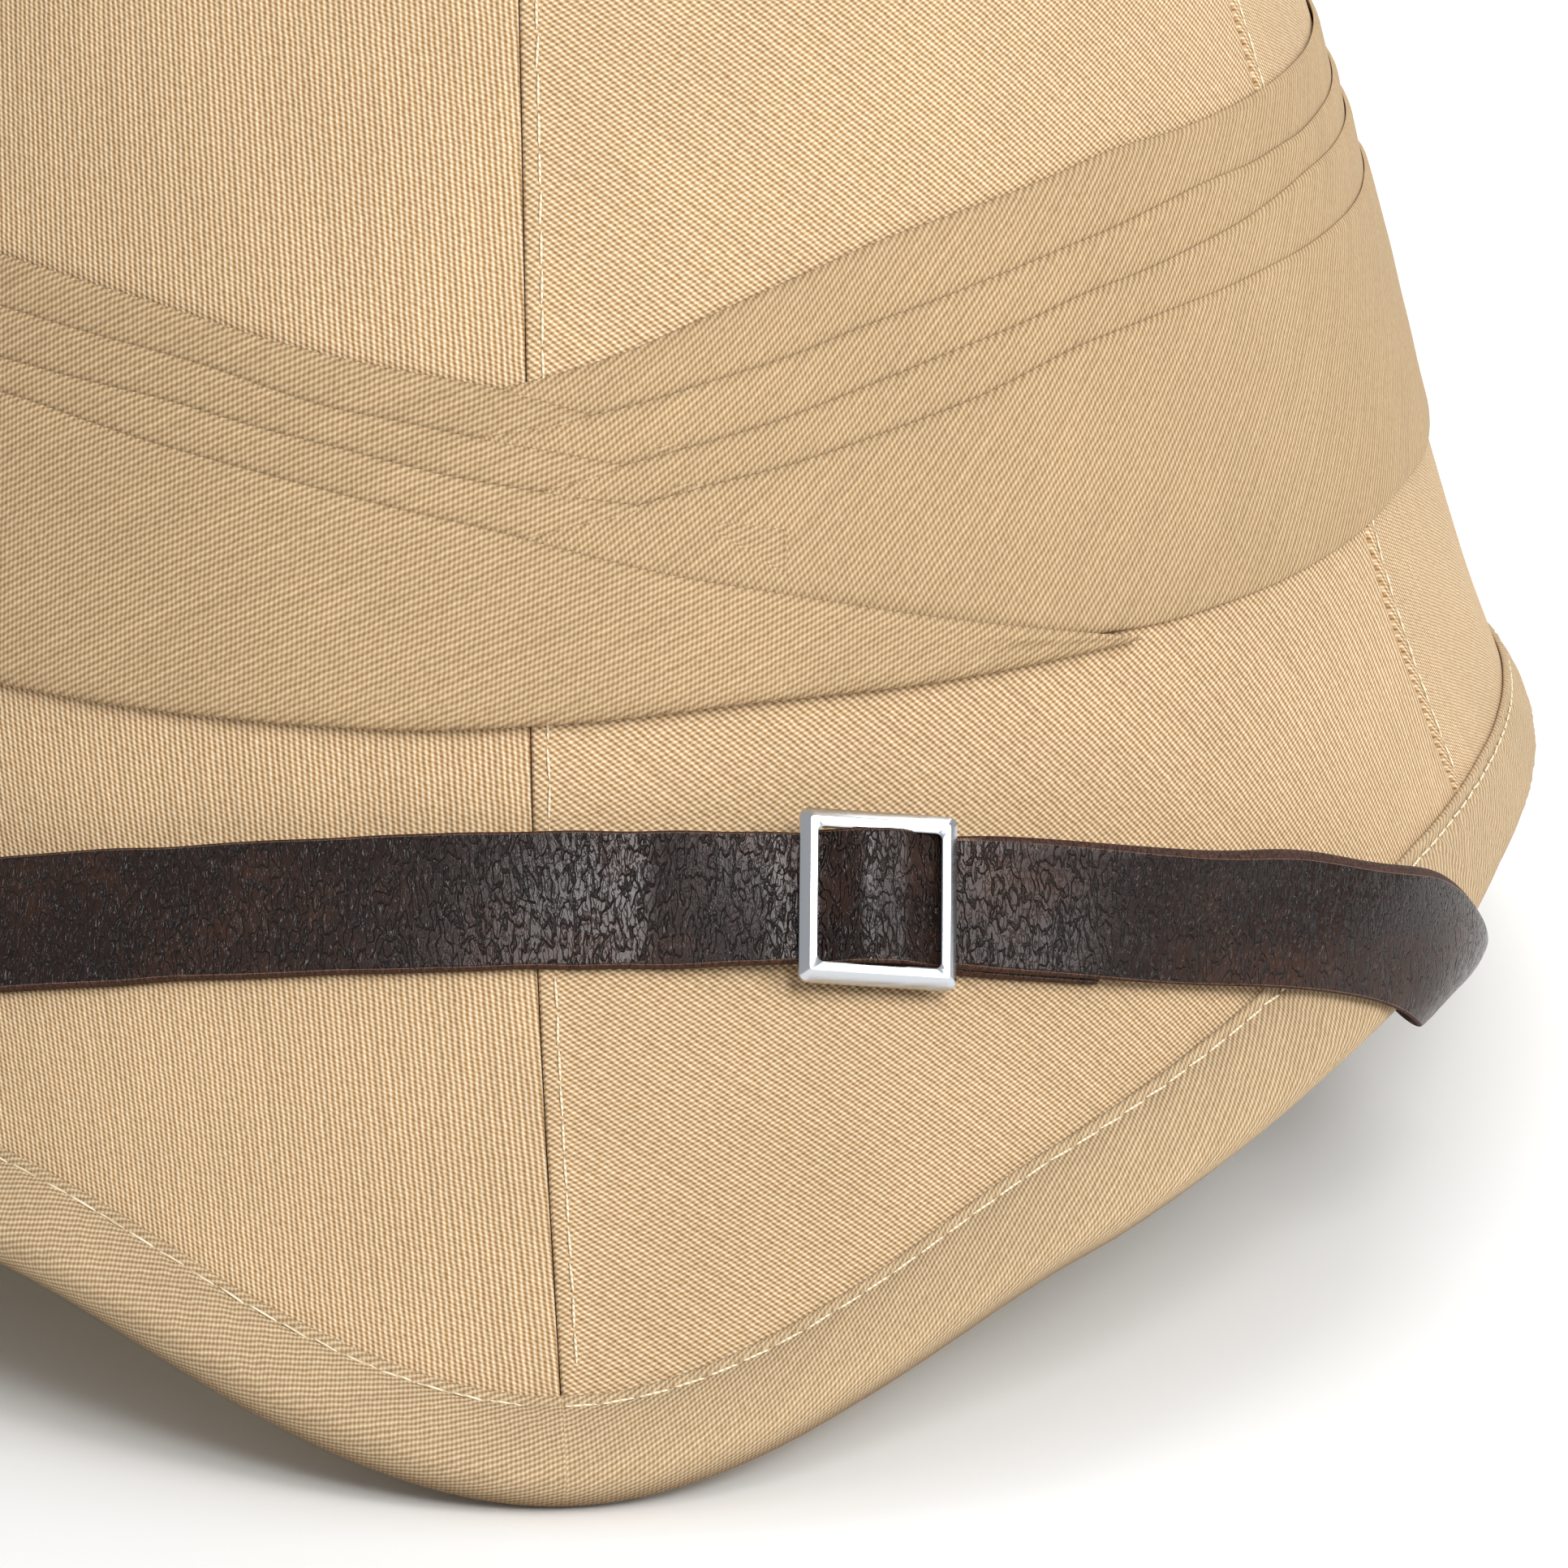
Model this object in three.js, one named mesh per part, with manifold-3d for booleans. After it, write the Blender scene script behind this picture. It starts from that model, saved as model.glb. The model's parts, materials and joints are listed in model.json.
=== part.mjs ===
import * as THREE from 'three';
import { mergeVertices } from 'three/addons/utils/BufferGeometryUtils.js';
import Module from 'manifold-3d';

const wasm = await Module();
wasm.setup();

// Driving sizes, in millimetres and degrees.
// Angles run round the hat from the front, 0, towards the wearer's left, 90, to the back, 180.

// Crown
const crownLength = 229;        // crown where it meets the brim, front to back
const crownWidth = 202.6;       // crown where it meets the brim, side to side
const crownHeight = 124.6;      // from where it meets the brim to its top
const crownRoundness = 2.14;    // power of the crown's side outline, 2 would be an ellipse
const wallLean = 16.2;          // lean of the wall where crown and brim meet, from upright

// Brim, measured from where it meets the crown
const peakReach = 52.4;         // outwards at the front
const peakDrop = 58.8;          // downwards at the front
const sideReach = 12;           // outwards above the ears
const sideDrop = 34.9;          // downwards above the ears
const backReach = 52;           // outwards at the back
const backDrop = 58.5;          // downwards at the back
const brimCurl = 0.15;          // how much steeper the flare ends than its chord

// Body and cover
const bodyWall = 3;             // moulded pith body
const coverCloth = 1;           // cotton drill of the six panels
const clothGap = 0.3;           // between one layer of the build and the next
const bindingWidth = 10.5;      // edge binding on each face of the brim
const bindingCloth = 1;         // doubled drill of the binding

// Band of pleated cloth round the crown
const bandHeight = 44;          // at the side
const bandCloth = 1.2;          // thinnest place of the pleated stack
const foldStep = 0.8;           // how far each pleat's edge stands over the one above
const bandBulge = 0.6;          // extra swell of the wide lower fold

// Chin strap
const strapWidth = 13;
const strapLeather = 1.5;
const strapDrop = 15.6;         // middle of the strap below the crown's foot, at the front
const strapTilt = 28.2;         // tilt of the flat cut that the strap lies on
const strapRest = 0.5;          // running gap under the strap
const strapSlack = 4;           // how far the hidden stretch spans clear of the brim
const strapUnder = 0.8;         // extra gap under the hidden stretch, from where it rolls over the brim's edge
const anchorAngle = 90;         // where the strap is held inside the hat
const anchorRise = 4;           // anchor above the crown's foot
const tailLength = 14;          // free end past the buckle
const tailShift = 0.7;          // free end lies this much low

// Buckle
const buckleAngle = 15.8;       // place of the buckle on the strap
const buckleLength = 14.6;      // along the strap
const sideBarWidth = 1.6;       // bars that cross the strap
const endBarWidth = 1.3;        // bars beside the strap's edges
const frameThickness = 1.6;
const centreBarWidth = 1.6;
const centreBarThickness = 1.2;
const frameCorner = 1.1;        // outer corner radius
const frameBevel = 0.45;
const buckleClearance = 0.5;    // between the strap's faces and the metal
const buckleEdgeGap = 0.25;     // between the strap's edges and the frame

// Anchor studs
const studRadius = 1.8;
const studHeadRadius = 4.6;
const studHeadThickness = 1.3;
const studClearance = 0.5;      // between the stud and the strap

// Ventilator button on the top
const ventHole = 8;             // half width of the hole through the body
const ventClearance = 0.6;      // between the stem and its hole
const buttonRadius = 21;
const buttonHeight = 8;
const buttonFlat = 7;           // radius of the flat on its top
const buttonRim = 2.4;          // thickness of the button at its rim
const stemLength = 9;

// How finely the forms are cut into flat faces
const seamCount = 6;
const sectionsPerPanel = 8;
const crownRows = 7;
const brimRows = 6;
const bandInnerRows = 5;
const strapColumns = 6;
const strapStep = 9;
const strapWrapStep = 4.5;

// The brim's outline. Reach and drop are shares of the named sizes of the part that a row is of.
const brimSizes = {
  peak: { reach: peakReach, drop: peakDrop },
  side: { reach: sideReach, drop: sideDrop },
  back: { reach: backReach, drop: backDrop },
};
const brimOutline = [
  { angle: 0, part: 'peak', reach: 1, drop: 1 },
  { angle: 20, part: 'peak', reach: 0.765, drop: 0.733 },
  { angle: 40, part: 'peak', reach: 0.485, drop: 0.594 },
  { angle: 60, part: 'side', reach: 1.19, drop: 0.989 },
  { angle: 80, part: 'side', reach: 1, drop: 1.023 },
  { angle: 100, part: 'side', reach: 1.45, drop: 1.132 },
  { angle: 130, part: 'back', reach: 0.64, drop: 0.84 },
  { angle: 155, part: 'back', reach: 0.9, drop: 0.98 },
  { angle: 180, part: 'back', reach: 1, drop: 1 },
];

// The band's fold edges above the crown's foot, as shares of the band's height.
// Lap is the share of a fold's step that the crossing fold stands out by.
const bandFolds = [
  { angle: -180, top: 0.955, first: 0.841, second: 0.727, third: 0.614, cross: 0.455, foot: 0, lap: 0 },
  { angle: -120, top: 0.977, first: 0.864, second: 0.761, third: 0.636, cross: 0.477, foot: 0, lap: 0 },
  { angle: -60, top: 0.955, first: 0.841, second: 0.739, third: 0.636, cross: 0.5, foot: -0.014, lap: 0 },
  { angle: -30, top: 0.836, first: 0.739, second: 0.636, third: 0.568, cross: 0.5, foot: -0.036, lap: 0 },
  { angle: -20, top: 0.777, first: 0.682, second: 0.591, third: 0.5, cross: 0.436, foot: -0.045, lap: 0 },
  { angle: -10, top: 0.705, first: 0.598, second: 0.516, third: 0.423, cross: 0.364, foot: -0.055, lap: 0 },
  { angle: -3, top: 0.659, first: 0.552, second: 0.459, third: 0.373, cross: 0.318, foot: -0.059, lap: 0.5 },
  { angle: 2, top: 0.673, first: 0.541, second: 0.436, third: 0.361, cross: 0.3, foot: -0.055, lap: 1 },
  { angle: 8, top: 0.75, first: 0.627, second: 0.514, third: 0.427, cross: 0.255, foot: -0.036, lap: 1 },
  { angle: 15, top: 0.836, first: 0.686, second: 0.564, third: 0.473, cross: 0.193, foot: -0.018, lap: 1 },
  { angle: 22, top: 0.905, first: 0.75, second: 0.632, third: 0.523, cross: 0.132, foot: -0.007, lap: 1 },
  { angle: 30, top: 0.952, first: 0.8, second: 0.691, third: 0.582, cross: 0.073, foot: 0, lap: 0.8 },
  { angle: 38, top: 0.986, first: 0.841, second: 0.734, third: 0.636, cross: 0.05, foot: 0, lap: 0.3 },
  { angle: 50, top: 1, first: 0.877, second: 0.768, third: 0.655, cross: 0.08, foot: 0.007, lap: 0 },
  { angle: 75, top: 1, first: 0.873, second: 0.786, third: 0.65, cross: 0.136, foot: 0.023, lap: 0 },
  { angle: 120, top: 0.989, first: 0.864, second: 0.761, third: 0.636, cross: 0.318, foot: 0.011, lap: 0 },
  { angle: 180, top: 0.955, first: 0.841, second: 0.727, third: 0.614, cross: 0.455, foot: 0, lap: 0 },
];

// How the strap threads the buckle: along is a share of the buckle's length from its middle,
// level 0 lies on the hat, 1 passes under the side bars and 2 passes over the centre bar.
const strapThread = [
  { along: -1.4, level: 0 },
  { along: -0.6, level: 1 },
  { along: -0.34, level: 1 },
  { along: -0.12, level: 2 },
  { along: 0, level: 2 },
  { along: 0.12, level: 2 },
  { along: 0.34, level: 1 },
  { along: 0.6, level: 1 },
];
const threadEase = 0.9;         // share of the buckle's length over which the strap comes down past its end

// Values worked out from the driving sizes
const up = new THREE.Vector3(0, 0, 1);
const sectionCount = seamCount * sectionsPerPanel;
const lean = THREE.MathUtils.degToRad(wallLean);
const coverDepth = coverCloth + clothGap;
const innerDepth = coverDepth + bodyWall;
const bindingLift = bindingCloth + clothGap;
const brimStack = innerDepth + 2 * bindingLift;
const edgeRadius = brimStack / 2;
const edgeSetback = bindingCloth + 2 * clothGap;
const handleShare = 0.33;
const probe = 1e-3;
const tailLevel = strapRest + strapLeather + buckleClearance;
const centreBarTop = tailLevel + centreBarThickness;
const threadLevels = [strapRest, tailLevel, centreBarTop + buckleClearance];
const frameBottom = tailLevel + strapLeather + buckleClearance;
const openingWidth = strapWidth + 2 * buckleEdgeGap;
const buckleWidth = openingWidth + 2 * endBarWidth;

// Table readings

function bracket(rows, angle) {
  let next = 1;
  while (next < rows.length - 1 && rows[next].angle < angle) {
    next += 1;
  }
  return [rows[next - 1], rows[next]];
}

function readStraight(rows, column, angle) {
  const [low, high] = bracket(rows, angle);
  const share = (angle - low.angle) / (high.angle - low.angle);
  return THREE.MathUtils.lerp(low[column], high[column], share);
}

function wrapAngle(angle) {
  return THREE.MathUtils.euclideanModulo(angle + 180, 360) - 180;
}

// A smooth curve through the brim's rows, the same on both sides of the hat
function readBrim(column, angle) {
  const position = Math.abs(wrapAngle(angle));
  const last = brimOutline.length - 1;
  const row = (index) => {
    const folded = index < 0 ? -index : index > last ? 2 * last - index : index;
    const entry = brimOutline[folded];
    const place = index < 0 ? -entry.angle : index > last ? 360 - entry.angle : entry.angle;
    return { place, value: entry[column] * brimSizes[entry.part][column] };
  };
  let index = 0;
  while (index < last - 1 && brimOutline[index + 1].angle <= position) {
    index += 1;
  }
  const [before, start, end, after] = [row(index - 1), row(index), row(index + 1), row(index + 2)];
  const span = end.place - start.place;
  const share = (position - start.place) / span;
  const startSlope = (end.value - before.value) / (end.place - before.place) * span;
  const endSlope = (after.value - start.value) / (after.place - start.place) * span;
  return hermite(share, start.value, startSlope, end.value, endSlope);
}

function hermite(share, start, startSlope, end, endSlope) {
  const square = share * share;
  const cube = square * share;
  return start * (2 * cube - 3 * square + 1) + startSlope * (cube - 2 * square + share)
    + end * (3 * square - 2 * cube) + endSlope * (cube - square);
}

// The hat's outer surface

function crownFoot(angle) {
  const turn = THREE.MathUtils.degToRad(angle);
  return new THREE.Vector3(crownWidth / 2 * Math.sin(turn), -crownLength / 2 * Math.cos(turn), 0);
}

function outward(angle) {
  const turn = THREE.MathUtils.degToRad(angle);
  return new THREE.Vector3(Math.sin(turn) / crownWidth, -Math.cos(turn) / crownLength, 0).normalize();
}

function crownPoint(angle, share) {
  const swing = (1 - share) * Math.PI / 2;
  const height = crownHeight * Math.sin(swing) ** (2 / crownRoundness);
  const foot = crownFoot(angle);
  const shape = Math.max(Math.cos(swing), 0) ** (2 / crownRoundness);
  const taper = Math.tan(lean) * height / foot.length() * (1 - height / crownHeight);
  return foot.multiplyScalar(shape - taper).addScaledVector(up, height);
}

function brimLength(angle) {
  return Math.hypot(readBrim('reach', angle), readBrim('drop', angle));
}

function brimPoint(angle, share) {
  const out = outward(angle);
  const foot = crownFoot(angle);
  const reach = readBrim('reach', angle);
  const drop = readBrim('drop', angle);
  const chord = Math.atan2(reach, drop);
  const endLean = chord + (chord - lean) * brimCurl;
  const handle = handleShare * Math.hypot(reach, drop);
  const slope = (tilt) => out.clone().multiplyScalar(Math.sin(tilt)).addScaledVector(up, -Math.cos(tilt));
  const edge = foot.clone().addScaledVector(out, reach).addScaledVector(up, -drop);
  const curve = new THREE.CubicBezierCurve3(
    foot,
    foot.clone().addScaledVector(slope(lean), handle),
    edge.clone().addScaledVector(slope(endLean), -handle),
    edge,
  );
  return curve.getPoint(share);
}

// Place 0 is the crown's top, 1 its foot and 2 the brim's edge
function outerPoint(angle, place) {
  return place < 1 ? crownPoint(angle, place) : brimPoint(angle, Math.min(place - 1, 1));
}

function outerNormal(angle, place) {
  const centred = Math.min(Math.max(place, 2 * probe), 2 - 2 * probe);
  const along = outerPoint(angle, centred + probe).sub(outerPoint(angle, centred - probe));
  const round = outerPoint(angle + probe, centred).sub(outerPoint(angle - probe, centred));
  return along.cross(round).normalize();
}

// A point this deep under the outer surface; a negative depth stands off it
function skin(angle, place, depth) {
  return outerPoint(angle, place).addScaledVector(outerNormal(angle, place), -depth);
}

// Distance up from the brim's edge, measured over the cloth
function placeFromEdge(angle, inset) {
  const length = brimLength(angle);
  if (inset <= length) {
    return 2 - inset / length;
  }
  return 1 - (inset - length) / (crownHeight * Math.PI / 2);
}

// Height above the crown's foot; below it the brim is followed
function placeFromHeight(angle, height) {
  if (height < 0) {
    return 1 - height / (brimLength(angle) * Math.cos(lean));
  }
  const swing = Math.asin(Math.min(height / crownHeight, 1) ** (crownRoundness / 2));
  return 1 - swing * 2 / Math.PI;
}

// Place on the crown where its narrower half width is the given radius
function placeFromRadius(radius) {
  let low = 0;
  let high = 1;
  for (let step = 0; step < 40; step += 1) {
    const middle = (low + high) / 2;
    const point = crownPoint(90, middle);
    if (Math.min(point.x, -crownPoint(0, middle).y) < radius) {
      low = middle;
    } else {
      high = middle;
    }
  }
  return high;
}

// Bodies from rings of points

function signedVolume(positions, indices) {
  let volume = 0;
  for (let face = 0; face < indices.length; face += 3) {
    const [a, b, c] = [0, 1, 2].map((corner) => positions[indices[face + corner]]);
    volume += a.dot(b.clone().cross(c)) / 6;
  }
  return volume;
}

// Each ring is one closed loop of points. A body that isn't closed round gets a strip of faces
// over each end, between the first and second half of the ring.
function loft(rings, closed) {
  const size = rings[0].length;
  const positions = rings.flat();
  const indices = [];
  const spans = closed ? rings.length : rings.length - 1;
  for (let ring = 0; ring < spans; ring += 1) {
    const here = ring * size;
    const there = (ring + 1) % rings.length * size;
    for (let point = 0; point < size; point += 1) {
      const next = (point + 1) % size;
      const [a, b, c, d] = [here + point, there + point, there + next, here + next];
      if (positions[a].distanceTo(positions[c]) <= positions[b].distanceTo(positions[d])) {
        indices.push(a, b, c, a, c, d);
      } else {
        indices.push(a, b, d, b, c, d);
      }
    }
  }
  if (!closed) {
    const end = (rings.length - 1) * size;
    for (let point = 0; point < size / 2 - 1; point += 1) {
      const [a, b, c, d] = [point, point + 1, size - 2 - point, size - 1 - point];
      indices.push(a, b, c, a, c, d);
      indices.push(end + a, end + c, end + b, end + a, end + d, end + c);
    }
  }
  if (signedVolume(positions, indices) < 0) {
    for (let face = 0; face < indices.length; face += 3) {
      [indices[face + 1], indices[face + 2]] = [indices[face + 2], indices[face + 1]];
    }
  }
  const geometry = new THREE.BufferGeometry();
  geometry.setAttribute('position', new THREE.Float32BufferAttribute(positions.flatMap((p) => p.toArray()), 3));
  geometry.setIndex(indices);
  geometry.computeVertexNormals();
  return geometry;
}

function sectionAngles() {
  return Array.from({ length: sectionCount }, (_, index) => index * 360 / sectionCount - 180);
}

function toSolid(geometry) {
  const bare = geometry.clone();
  bare.deleteAttribute('normal');
  bare.deleteAttribute('uv');
  const merged = mergeVertices(bare, probe);
  return new wasm.Manifold(new wasm.Mesh({
    numProp: 3,
    vertProperties: new Float32Array(merged.attributes.position.array),
    triVerts: new Uint32Array(merged.index.array),
  }));
}

function toGeometry(solid) {
  const mesh = solid.getMesh();
  const geometry = new THREE.BufferGeometry();
  geometry.setAttribute('position', new THREE.Float32BufferAttribute(mesh.vertProperties, 3));
  geometry.setIndex(new THREE.Uint32BufferAttribute(mesh.triVerts, 1));
  geometry.computeVertexNormals();
  return geometry;
}

// Finishes

const drill = { color: 0xd8b987, roughness: 0.9, metalness: 0 };
const pleatedDrill = { color: 0xcaab78, roughness: 0.9, metalness: 0 };
const boundDrill = { color: 0xc9a876, roughness: 0.9, metalness: 0 };
const pith = { color: 0xc7b28c, roughness: 0.95, metalness: 0 };
const leather = { color: 0x33261f, roughness: 0.45, metalness: 0 };
const aluminium = { color: 0xb4b7ba, roughness: 0.3, metalness: 1 };
const steel = { color: 0x9a9a98, roughness: 0.35, metalness: 1 };

function piece(name, geometry, finish) {
  const mesh = new THREE.Mesh(geometry, new THREE.MeshStandardMaterial(finish));
  mesh.name = name;
  return mesh;
}

// Pith body, one wall from the hole in its top to the brim's edge

function wallPlaces(angle, topPlace, inset) {
  const places = [];
  for (let row = 0; row < crownRows; row += 1) {
    places.push(THREE.MathUtils.lerp(topPlace, 1, row / crownRows));
  }
  const last = placeFromEdge(angle, inset);
  for (let row = 0; row <= brimRows; row += 1) {
    places.push(THREE.MathUtils.lerp(1, last, row / brimRows));
  }
  return places;
}

function sheetRing(angleOf, places, outerDepth, depth) {
  const outer = places.map((place) => skin(angleOf(place), place, outerDepth));
  const inner = places.map((place) => skin(angleOf(place), place, depth)).reverse();
  return [...outer, ...inner];
}

function bodyShell() {
  const topPlace = placeFromRadius(ventHole);
  const rings = sectionAngles().map((angle) => {
    const places = wallPlaces(angle, topPlace, edgeSetback);
    return sheetRing(() => angle, places, coverDepth, innerDepth);
  });
  return piece('shell', loft(rings, true), pith);
}

// Six drill panels, each between two seams

function coverPanel(index) {
  const firstAngle = index * 360 / seamCount;
  const step = 360 / sectionCount;
  const topPlace = placeFromRadius(ventHole);
  const rings = [];
  for (let section = 0; section <= sectionsPerPanel; section += 1) {
    const side = section === 0 ? 1 : section === sectionsPerPanel ? -1 : 0;
    const middle = firstAngle + section * step;
    const angleOf = (place) => {
      const point = outerPoint(middle, place);
      const seamTurn = THREE.MathUtils.radToDeg(clothGap / 2 / Math.hypot(point.x, point.y));
      return middle + side * seamTurn;
    };
    rings.push(sheetRing(angleOf, wallPlaces(middle, topPlace, edgeSetback), 0, coverCloth));
  }
  return piece(`cover_panel_${index + 1}`, loft(rings, false), drill);
}

// Pleated band round the crown's foot, with its folds crossing at the front

function pleatedBand() {
  const rest = clothGap + 0.1;
  const thin = rest + bandCloth;
  const lip = 0.4;
  const rings = sectionAngles().map((angle) => {
    const height = (column) => bandHeight * readStraight(bandFolds, column, angle);
    const lap = readStraight(bandFolds, 'lap', angle);
    const [top, first, second, third, cross, foot] = ['top', 'first', 'second', 'third', 'cross', 'foot'].map(height);
    const crossLift = thin + 1.6 * foldStep;
    const outer = [
      [top, rest],
      [top - lip / 2, thin + 0.2 * foldStep],
      [first + lip, thin],
      [first, thin + foldStep],
      [second + lip, thin + 0.4 * foldStep],
      [second, thin + 1.4 * foldStep],
      [third + lip, thin + 0.8 * foldStep],
      [third, thin + 1.8 * foldStep],
      [cross + lip, crossLift],
      [cross, crossLift + lap * foldStep],
      [THREE.MathUtils.lerp(cross, foot, 0.5), crossLift + bandBulge],
      [foot + 1.5 * lip, crossLift],
      [foot, thin],
    ];
    const inner = [];
    for (let row = 0; row < bandInnerRows; row += 1) {
      inner.push([THREE.MathUtils.lerp(foot + lip, top - lip, row / (bandInnerRows - 0.5)), rest]);
    }
    return [...outer, ...inner].map(([high, lift]) => skin(angle, placeFromHeight(angle, high), -lift));
  });
  return piece('puggaree', loft(rings, true), pleatedDrill);
}

// Doubled cloth folded over the brim's edge

function edgeBinding() {
  const under = innerDepth + clothGap;
  const outline = [
    { inset: bindingWidth, depth: -clothGap },
    { inset: bindingWidth, depth: -bindingLift },
    { inset: edgeRadius * 0.7, depth: -bindingLift },
    { inset: edgeRadius * 0.18, depth: edgeRadius * 0.5 - bindingLift },
    { inset: 0, depth: edgeRadius - bindingLift },
    { inset: edgeRadius * 0.18, depth: edgeRadius * 1.5 - bindingLift },
    { inset: edgeRadius * 0.7, depth: brimStack - bindingLift },
    { inset: bindingWidth, depth: brimStack - bindingLift },
    { inset: bindingWidth, depth: under },
    { inset: edgeSetback - clothGap, depth: under },
    { inset: edgeSetback - clothGap, depth: -clothGap },
  ];
  const rings = sectionAngles().map((angle) => outline.map(
    ({ inset, depth }) => skin(angle, placeFromEdge(angle, inset), depth),
  ));
  return piece('brim_binding', loft(rings, true), boundDrill);
}

// Wrap runs over the finished edge: positive on the top face, zero at the rim, negative underneath

function bindingRamp(inset) {
  return bindingLift * (1 - THREE.MathUtils.smoothstep(inset, bindingWidth + bindingLift, bindingWidth + 5 * bindingLift));
}

function rimPoint(angle, wrap, lift) {
  const quarter = edgeRadius * Math.PI / 2;
  const centreDepth = edgeRadius - bindingLift;
  const gap = strapUnder * THREE.MathUtils.smoothstep(-wrap, -2 * quarter, 0);
  if (Math.abs(wrap) < quarter) {
    const place = placeFromEdge(angle, edgeRadius);
    const centre = skin(angle, place, centreDepth);
    const normal = outerNormal(angle, place);
    const away = outerPoint(angle, 2).sub(outerPoint(angle, place)).normalize();
    const turn = wrap / edgeRadius;
    const radius = edgeRadius + lift + gap;
    return centre.addScaledVector(away, radius * Math.cos(turn)).addScaledVector(normal, radius * Math.sin(turn));
  }
  const inset = edgeRadius + Math.abs(wrap) - quarter;
  const place = placeFromEdge(angle, inset);
  const ramp = bindingRamp(inset);
  return skin(angle, place, wrap > 0 ? -ramp - lift : innerDepth + ramp + lift + gap);
}

// Route of the strap's middle, as wrap against angle

function strapInset(angle) {
  let low = 1;
  let high = 2;
  const slope = Math.tan(THREE.MathUtils.degToRad(strapTilt));
  const frontPlace = placeFromHeightOnBrim(0, strapDrop);
  const front = brimPoint(0, frontPlace - 1);
  for (let step = 0; step < 40; step += 1) {
    const middle = (low + high) / 2;
    const point = outerPoint(angle, middle);
    const cut = front.z - slope * (point.y - front.y);
    if (point.z > cut) {
      low = middle;
    } else {
      high = middle;
    }
  }
  return (2 - high) * brimLength(angle);
}

function placeFromHeightOnBrim(angle, drop) {
  let low = 1;
  let high = 2;
  for (let step = 0; step < 40; step += 1) {
    const middle = (low + high) / 2;
    if (outerPoint(angle, middle).z > -drop) {
      low = middle;
    } else {
      high = middle;
    }
  }
  return high;
}

function strapRoute() {
  const quarter = edgeRadius * Math.PI / 2;
  const topWrap = (angle) => strapInset(angle) - edgeRadius + quarter;
  let turnAngle = 0;
  while (strapInset(turnAngle + 1) > edgeRadius + bindingLift && turnAngle < anchorAngle) {
    turnAngle += 1;
  }
  const turnWrap = topWrap(turnAngle);
  const turnSlope = topWrap(turnAngle) - topWrap(turnAngle - 1);
  const endWrap = edgeRadius - quarter - brimLength(anchorAngle) - anchorRise;
  const span = anchorAngle - turnAngle;
  const endSlope = (endWrap - turnWrap) / span;
  return (angle) => {
    const turned = Math.abs(angle);
    if (turned <= turnAngle) {
      return topWrap(turned);
    }
    const share = (turned - turnAngle) / span;
    return hermite(share, turnWrap, turnSlope * span, endWrap, endSlope * span);
  };
}

const route = strapRoute();

function strapMiddle(angle) {
  return rimPoint(angle, route(angle), strapRest);
}

// Dense steps along the route, with the length walked so far
function walkRoute() {
  const steps = [];
  const stride = 0.5;
  let length = 0;
  for (let angle = -anchorAngle; angle <= anchorAngle + probe; angle += stride) {
    if (steps.length > 0) {
      length += strapMiddle(angle).distanceTo(strapMiddle(angle - stride));
    }
    steps.push({ angle, length });
  }
  return steps;
}

const walk = walkRoute();
const routeLength = walk[walk.length - 1].length;

function angleAtLength(length) {
  const index = Math.min(Math.max(walk.findIndex((step) => step.length >= length), 1), walk.length - 1);
  const [low, high] = [walk[index - 1], walk[index]];
  return THREE.MathUtils.mapLinear(length, low.length, high.length, low.angle, high.angle);
}

function lengthAtAngle(angle) {
  const index = Math.min(Math.max(walk.findIndex((step) => step.angle >= angle), 1), walk.length - 1);
  const [low, high] = [walk[index - 1], walk[index]];
  return THREE.MathUtils.mapLinear(angle, low.angle, high.angle, low.length, high.length);
}

const buckleAt = lengthAtAngle(buckleAngle);
const tailEnd = buckleAt + buckleLength / 2 + tailLength;

// One millimetre across the strap, as steps of angle and wrap, square to the route over the surface
function stepAcross(angle) {
  const stride = 0.5;
  const wrap = route(angle);
  const slope = (route(angle + stride) - route(angle - stride)) / (2 * stride);
  const round = rimPoint(angle + stride, wrap, strapRest).sub(rimPoint(angle - stride, wrap, strapRest));
  round.multiplyScalar(1 / (2 * stride));
  const over = rimPoint(angle, wrap + stride, strapRest).sub(rimPoint(angle, wrap - stride, strapRest));
  over.multiplyScalar(1 / (2 * stride));
  const turn = -(round.dot(over) + over.dot(over) * slope);
  const climb = round.dot(round) + round.dot(over) * slope;
  const length = round.multiplyScalar(turn).addScaledVector(over, climb).length();
  return { turn: turn / length, climb: climb / length };
}

// A point of the strap: length along it, across it, and height over what it lies on
function strapPoint(length, across, lift) {
  const angle = angleAtLength(length);
  const { turn, climb } = stepAcross(angle);
  return rimPoint(angle + turn * across, route(angle) + climb * across, lift + hiddenLift(angle));
}

// The stretch under the brim runs nearly straight from the edge to its anchor
function hiddenLift(angle) {
  const wrap = route(angle);
  const start = -edgeRadius * Math.PI / 2;
  const end = route(anchorAngle);
  const share = THREE.MathUtils.clamp((wrap - start) / (end - start), 0, 1);
  return strapSlack * Math.sin(Math.PI * share) ** 2;
}

function threadLift(length) {
  const along = (length - buckleAt) / buckleLength;
  const tailShare = (tailEnd - buckleAt) / buckleLength;
  const rows = [...strapThread, { along: tailShare, level: 1 }, { along: tailShare + threadEase, level: 0 }];
  let next = 1;
  while (next < rows.length - 1 && rows[next].along < along) {
    next += 1;
  }
  const share = THREE.MathUtils.clamp((along - rows[next - 1].along) / (rows[next].along - rows[next - 1].along), 0, 1);
  return THREE.MathUtils.lerp(threadLevels[rows[next - 1].level], threadLevels[rows[next].level], share);
}

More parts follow.
